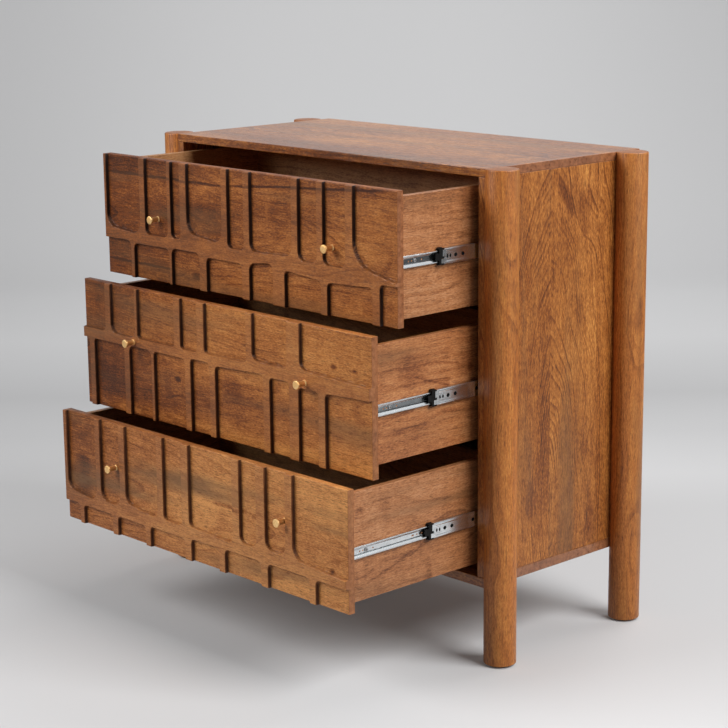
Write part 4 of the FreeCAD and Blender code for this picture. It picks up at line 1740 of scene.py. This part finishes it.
class Hardware:
    """The metal and plastic finishes, and the tools that set repeated small shapes."""

    def __init__(self) -> None:
        """Makes each finish and tool once."""
        rolled = {"stretch": (160.0, 9.0, 160.0), "relief": 0.006, "spread": 0.05}
        turned, pressed = (300.0, 300.0, 300.0), (400.0, 400.0, 400.0)
        self.brass = Metal(tint(244, 206, 146), tint(226, 178, 112), 0.40, turned).material("satin_brass")
        self.zinc = Metal(tint(226, 229, 230), tint(208, 212, 214), 0.20, **rolled).material("zinc_plate")
        # A darker zinc that paints the shade lying on the drawer members' webs between their lips.
        self.painted_web_shade = Metal(tint(160, 163, 164), tint(140, 144, 146), 0.22, **rolled).material("greased_zinc_plate")
        self.steel = Metal(tint(196, 196, 196), tint(150, 150, 150), 0.32, pressed).material("screw_steel")
        self.cap = Plastic(tint(11, 11, 11), tint(24, 24, 25), 0.50, 0.18).material("black_cap_plastic")
        # A near-black plastic that paints the shade on the floors of the slots.
        self.shadow = Plastic(tint(8, 8, 8), tint(18, 17, 16), 0.70, 0.1).material("dark_slot_grease")
        self.glide = Plastic(tint(40, 36, 32), tint(62, 57, 52), 0.5).material("dark_glide_nylon")
        self.punch = Perforation()
        self.row = FastenerRow()


@dataclass
class Drawer:
    """A drawer: its carved front, box, knobs and slides.

    Attributes:
        name: Which drawer it is.
        front_wood: Wood of its front.
        box_wood: Wood of its sides and back.
        seed: A number that gives its boards their own figure.
    """

    name: str
    front_wood: Wood
    box_wood: Wood
    seed: float

    def build(self, kit: Hardware) -> None:
        """Builds and dresses the whole drawer.

        Args:
            kit: Finishes and repeated shapes.
        """
        body = self.name + "_drawer"
        front = self.name + "_drawer_front"
        wood = self.front_wood.material(front + "_wood", middle(front), self.seed)
        carving = CarvedFront(self.name, FRONT_FIELDS[self.name], *CARVING_SHADE_AND_STAIN[self.name])
        seat(carving.build(wood), front, body)
        self.box(body)
        seat(Knob().build(self.name, kit.brass), self.name + "_knobs", body)
        Slide(self.name, painted_web_shade=self.name != "bottom").build(kit)

    def box(self, body: str) -> None:
        """Builds the sides and back, and dresses the bottom and dowels.

        Args:
            body: The body that carries them.
        """
        for offset, side in enumerate(("right", "left")):
            node = f"{self.name}_drawer_side_{side}"
            wood = self.box_wood if side == "right" else replace(self.box_wood, marks=(), **LEFT_TONES)
            finish = wood.material(node + "_wood", middle(node), self.seed + 0.7 + 2.9 * offset)
            seat(eased_board(node, finish, FINE_EASE), node, body)
        node = self.name + "_drawer_back"
        finish = Wood(Grain.ALONG_FRONT, **INSIDE_TONES).material(node + "_wood", middle(node), self.seed + 1.9)
        seat(eased_board(node, finish, FINE_EASE), node, body)
        dress(self.name + "_drawer_bottom", Plywood().material(self.name + "_drawer_plywood", self.seed))
        dowel = Wood(Grain.FRONT_TO_BACK, *BEECH)
        dress(self.name + "_drawer_dowels", dowel.material(self.name + "_dowel_beech", Vector((0, 0, 0)), 5.0))


def direction(azimuth: float, elevation: float) -> Vector:
    """Gives the way to what stands these degrees round from the front, to the right, and above the floor."""
    around, up = math.radians(azimuth), math.radians(elevation)
    return Vector((math.sin(around) * math.cos(up), -math.cos(around) * math.cos(up), math.sin(up)))


@dataclass(frozen=True)
class Lamp:
    """A soft square lamp that points at the chest.

    Attributes:
        name: Its name.
        azimuth: Degrees round from the front, to the right.
        elevation: Degrees above the floor.
        distance: Distance from the middle of the chest.
        size: Length of its sides.
        level: Brightness on a white card that faces it.
    """

    name: str
    azimuth: float
    elevation: float
    distance: float
    size: float
    level: float

    def build(self, middle_point: Vector) -> None:
        """Hangs the lamp.

        Args:
            middle_point: The point that it shines at.
        """
        data = bpy.data.lights.new(self.name, "AREA")
        data.shape = "SQUARE"
        data.size = self.size
        data.energy = self.level * math.pi ** 2 * self.distance ** 2
        away = direction(self.azimuth, self.elevation)
        lamp = bpy.data.objects.new(self.name, data)
        lamp.matrix_world = Matrix.Translation(middle_point + away * self.distance) @ \
            away.to_track_quat("Z", "Y").to_matrix().to_4x4()
        bpy.context.scene.collection.objects.link(lamp)


@dataclass
class Studio:
    """The pale floor, the sweep behind it, the lamps, the air light and the camera.

    Attributes:
        azimuth: Degrees that the camera stands round to the right.
        elevation: Degrees that it stands above its aim.
        roll: Degrees that it leans.
        distance: Distance from its aim.
        focal: Focal length, in widths of the picture.
        aim: The point that it looks at.
        lamps: The lamps.
        air: Brightness of the surroundings.
        backdrop: Brightness of the surroundings for the camera and for reflections.
        paper: Tone of the floor and sweep, for the camera and for reflections.
        paper_bounce: Their tone for the light that they throw back on the chest.
        glow: Glow and tone of the paper at metres behind the chest, for the camera and for reflections.
    """

    azimuth: float = 46.74
    elevation: float = 12.59
    roll: float = -0.54
    distance: float = 3.82953
    focal: float = 2007.59 / 728.0
    aim: tuple[float, float, float] = (-0.05036, 0.114725, 0.43828)
    lamps: tuple[Lamp, ...] = (Lamp("key_lamp", 102.0, 39.0, 5.0, 2.8, 1.0),
                               Lamp("fill_lamp", -30.0, 31.0, 4.0, 2.2, 0.72),
                               Lamp("top_lamp", 178.0, 50.0, 4.5, 2.6, 0.32))
    air: float = 0.06
    backdrop: float = 0.62
    paper: Colour = tint(204, 204, 205)
    paper_bounce: Colour = tint(150, 150, 152)
    glow: tuple[tuple[float, float, float], ...] = (
        (-0.6, 0.04, 1.0), (0.4, 0.08, 1.0), (0.9, 0.02, 0.93), (1.5, 0.015, 0.86), (2.6, 0.14, 0.98),
        (3.6, 0.19, 1.0), (4.8, 0.20, 1.0))

    def build(self) -> None:
        """Sets up the whole studio."""
        self.sweep()
        for lamp in self.lamps:
            lamp.build(Vector((0.0, 0.0, 0.45)))
        world = bpy.data.worlds.new("studio_air")
        world.use_nodes = True
        graph = Graph(world.node_tree)
        ground = world.node_tree.nodes["Background"]
        ground.inputs["Color"].default_value = (0.97, 0.98, 1.0, 1.0)
        graph.feed(ground.inputs["Strength"], graph.seen()[1].eased(0.0, 1.0, self.air, self.backdrop))
        bpy.context.scene.world = world
        self.camera()
        bpy.context.scene.view_settings.view_transform = "Standard"

    def sweep(self) -> None:
        """Lays the floor and bends it up into a wall far behind the chest."""
        bend, back, reach, top = 1.8, 3.4, 9.0, 6.0
        profile = [(-7.0, 0.0), (-3.0, 0.0), (0.0, 0.0), (back, 0.0)]
        profile += [(back + bend * math.sin(a), bend - bend * math.cos(a))
                    for a in (math.pi / 2 * step / 16 for step in range(1, 17))]
        profile.append((back + bend, top))
        turn = Matrix.Rotation(math.radians(self.azimuth), 3, "Z")
        points = [turn @ Vector((x, y, z)) for y, z in profile for x in (-reach, reach)]
        faces = [(2 * i, 2 * i + 1, 2 * i + 3, 2 * i + 2) for i in range(len(profile) - 1)]
        mesh = bpy.data.meshes.new("studio_sweep")
        mesh.from_pydata(points, [], faces)
        show("studio_sweep", mesh, self.paper_finish(), 60.0)

    def paper_finish(self) -> Finish:
        """Makes the paper, pale for the camera and darker for the light that it throws back.

        Returns:
            The material.
        """
        material, graph = new_finish("studio_paper")
        camera, seen = graph.seen()
        turned = graph.wire("ShaderNodeVectorRotate", {"Vector": graph.spot(), "Angle": -math.radians(self.azimuth)},
                            rotation_type="Z_AXIS")
        aside, ahead, _ = turned.parts()
        dim = graph.math("MAXIMUM", abs(aside).eased(1.1, 3.2, 1.0, 0.12), camera)
        first, last = self.glow[0][0], self.glow[-1][0]
        place = ahead.eased(first, last, 0.0, 1.0)
        behind, toned = (graph.ramp(place, tuple(((stop[0] - first) / (last - first), (stop[index],) * 3)
                                                 for stop in self.glow)) for index in (1, 2))
        cloud = graph.noise(graph.spot(), (0.8, 0.8, 0.8))
        pale = tuple(value * 1.03 for value in self.paper)
        paper = graph.mix(1.0, graph.mix(cloud, self.paper, pale), graph.join(dim, dim, dim), "MULTIPLY")
        paper = graph.mix(1.0, paper, toned, "MULTIPLY")
        wings = abs(aside - 0.1).eased(0.3, 1.75, 1.0, 0.62)
        outer = graph.math("MAXIMUM", abs(aside).eased(1.9, 4.2, 0.0, self.backdrop),
                           ahead.eased(-4.2, -1.6, self.backdrop, 0.0))
        glow = graph.math("MAXIMUM", behind * wings, outer * camera)
        graph.surface({"Base Color": graph.mix(seen, self.paper_bounce, paper), "Roughness": 0.8,
                       "Specular IOR Level": 0.15, "Emission Color": (1.0, 1.0, 1.0, 1.0),
                       "Emission Strength": seen * dim * glow})
        return material

    def camera(self) -> None:
        """Stands the camera where the picture was taken from."""
        away = direction(self.azimuth, self.elevation)
        data = bpy.data.cameras.new("picture_camera")
        data.sensor_width = 36.0
        data.lens = self.focal * data.sensor_width
        camera = bpy.data.objects.new("picture_camera", data)
        right = (-away).cross(Vector((0.0, 0.0, 1.0))).normalized()
        above = right.cross(-away)
        lean = math.radians(self.roll)
        side = right * math.cos(lean) + above * math.sin(lean)
        head = above * math.cos(lean) - right * math.sin(lean)
        turn = Matrix((side, head, away)).transposed().to_4x4()
        camera.matrix_world = Matrix.Translation(Vector(self.aim) + away * self.distance) @ turn
        bpy.context.scene.collection.objects.link(camera)
        bpy.context.scene.camera = camera


KNOT, STAIN, LINE = MarkKind.KNOT, MarkKind.STAIN, MarkKind.LINE
SIDE_MARKS = (Mark(STAIN, 0.300, 0.000, 0.060, 0.020, 0.26, -0.64), Mark(KNOT, 0.276, 0.049, 0.045, 0.026, 0.16),
              Mark(STAIN, 0.236, 0.052, 0.030, 0.020, 0.10), Mark(KNOT, 0.085, 0.044, 0.050, 0.026, 0.12),
              Mark(KNOT, -0.160, 0.061, 0.034, 0.018, 0.14), Mark(STAIN, -0.235, -0.083, 0.045, 0.026, 0.14),
              Mark(STAIN, -0.291, 0.073, 0.095, 0.016, 0.18), Mark(STAIN, 0.334, 0.055, 0.045, 0.030, -0.16))
# The broad dark STAIN at along -0.42 on each front is painted shade that darkens its left end; the pale STAIN of
# negative strength at along 0.28 on the top and middle fronts and at along 0.02 on the bottom front is painted light.
FRONT_MARKS = {
    "top": (Mark(LINE, -0.215, 0.080, 0.200, 0.0035, 0.49), Mark(LINE, 0.160, 0.096, 0.230, 0.0035, 0.49, 0.065),
            Mark(STAIN, 0.000, 0.030, 0.500, 0.050, 0.14), Mark(KNOT, -0.128, -0.0895, 0.020, 0.012, 0.49),
            Mark(LINE, -0.290, -0.0845, 0.110, 0.0035, 0.46), Mark(STAIN, -0.140, -0.020, 0.040, 0.030, 0.17),
            Mark(STAIN, 0.260, -0.075, 0.260, 0.040, 0.17), Mark(STAIN, 0.000, 0.108, 0.700, 0.030, 0.19),
            Mark(STAIN, 0.280, 0.020, 0.160, 0.060, -0.10), Mark(STAIN, -0.420, 0.000, 0.480, 0.400, 0.24)),
    "middle": (Mark(KNOT, 0.300, 0.057, 0.012, 0.007, 0.49), Mark(KNOT, 0.350, 0.057, 0.010, 0.006, 0.49),
               Mark(KNOT, -0.115, -0.031, 0.012, 0.008, 0.49), Mark(STAIN, 0.035, -0.011, 0.045, 0.050, 0.22),
               Mark(LINE, 0.000, -0.106, 0.600, 0.0130, -0.14), Mark(STAIN, 0.280, 0.060, 0.180, 0.060, -0.14),
               Mark(STAIN, 0.050, -0.060, 0.330, 0.055, 0.26), Mark(STAIN, -0.420, 0.000, 0.480, 0.400, 0.24)),
    "bottom": (Mark(STAIN, -0.335, -0.010, 0.030, 0.060, 0.36), Mark(LINE, 0.090, 0.016, 0.050, 0.0060, 0.38),
               Mark(KNOT, 0.352, -0.040, 0.010, 0.007, 0.52), Mark(STAIN, 0.020, 0.030, 0.260, 0.090, -0.22),
               Mark(STAIN, -0.420, 0.000, 0.440, 0.400, 0.24)),
}
BOX_MARKS = {
    "top": (Mark(LINE, 0.000, 0.050, 0.160, 0.0030, 0.14),),
    "middle": (Mark(STAIN, -0.090, 0.052, 0.050, 0.040, 0.24), Mark(KNOT, 0.050, 0.031, 0.014, 0.009, 0.30),
               Mark(LINE, -0.040, 0.020, 0.050, 0.0030, 0.24, -0.30), Mark(STAIN, 0.021, 0.067, 0.034, 0.016, -0.14),
               Mark(LINE, -0.060, -0.050, 0.090, 0.0026, 0.18)),
    "bottom": (Mark(KNOT, -0.152, 0.062, 0.014, 0.009, 0.32), Mark(STAIN, -0.096, 0.059, 0.022, 0.015, 0.18),
               Mark(LINE, -0.090, -0.053, 0.055, 0.0040, 0.24, 0.31), Mark(STAIN, 0.007, -0.081, 0.012, 0.030, 0.20)),
}
# Tone of each front, and its rise, which paints light that makes the front paler towards its right end.
FRONT_TONE_AND_PAINTED_LIGHT = {"top": (-0.04, 0.18), "middle": (0.045, 0.40), "bottom": (0.12, 0.20)}
BOX_TONES = {"top": 0.05, "middle": 0.00, "bottom": 0.08}
# How dark each front's carving walls are painted with shade and stain, and how far that reaches.
CARVING_SHADE_AND_STAIN = {"top": (1.0, 1.75), "middle": (0.92, 1.50), "bottom": (0.80, 1.35)}
LEFT_TONES = {"brown": tint(132, 86, 52), "middle": tint(170, 118, 74), "light": tint(200, 150, 104), "grey": 0.4}
INSIDE_TONES = {"brown": tint(128, 90, 58), "middle": tint(164, 120, 78), "light": tint(190, 148, 104), "grey": 0.3}
RED_TONES = {"brown": tint(128, 68, 27), "middle": tint(180, 109, 52), "light": tint(226, 155, 84)}
CARVED_TONES = {"top": RED_TONES, "middle": RED_TONES,
                "bottom": {"middle": tint(182, 113, 58), "light": tint(230, 162, 94), "grey": 0.85}}
PINK_TONES = {"brown": tint(134, 82, 48), "middle": tint(176, 116, 72), "light": tint(206, 150, 106)}
SIDE_TONES = {"top": PINK_TONES, "bottom": PINK_TONES,
              "middle": {"brown": tint(128, 72, 38), "middle": tint(174, 110, 64), "light": tint(208, 148, 96)}}


def main() -> None:
    """Builds the studio, the case and the drawers."""
    logging.basicConfig(level=logging.INFO, format="%(name)s: %(message)s")
    Studio().build()
    kit = Hardware()
    side = Wood(Grain.UPRIGHT, joints=(-0.035, 0.088), heart_across=0.055, heart_depth=0.05, tilt=0.28, ring=0.0044,
                wave=0.034, figure=0.36, cloud=0.62, streak=0.30, mottle=0.24, curl=0.12, strip_tone=0.10, tone=-0.09,
                marks=SIDE_MARKS)
    level = Wood(Grain.ALONG_TOP, joints=(-0.115, -0.02, 0.09), heart_depth=0.12, tone=-0.12, roughness=0.30,
                 coat=0.35)
    post = Wood(Grain.UPRIGHT, heart_depth=0.05, tilt=0.02, cloud=0.30, streak=0.36, mottle=0.20, curl=0.06,
                fibre=0.30, speckle=0.62, tone=0.08, middle=tint(184, 110, 48), light=tint(230, 158, 78))
    Carcass(side, level, post).build(kit)
    for index, name in enumerate(DRAWERS):
        tone, rise = FRONT_TONE_AND_PAINTED_LIGHT[name]
        front = Wood(Grain.ALONG_FRONT, carved=True, heart_depth=0.07, tilt=0.12, tone=tone, rise=rise,
                     figure=0.19, cloud=0.80, streak=0.34, curl=0.16, shine=0.28, marks=FRONT_MARKS[name],
                     **CARVED_TONES[name])
        box = Wood(Grain.FRONT_TO_BACK, tone=BOX_TONES[name], marks=BOX_MARKS[name], figure=0.26, streak=0.44,
                   mottle=0.28, **SIDE_TONES[name])
        Drawer(name, front, box, 4.3 + 2.7 * index).build(kit)


if __name__ == "__main__":
    main()
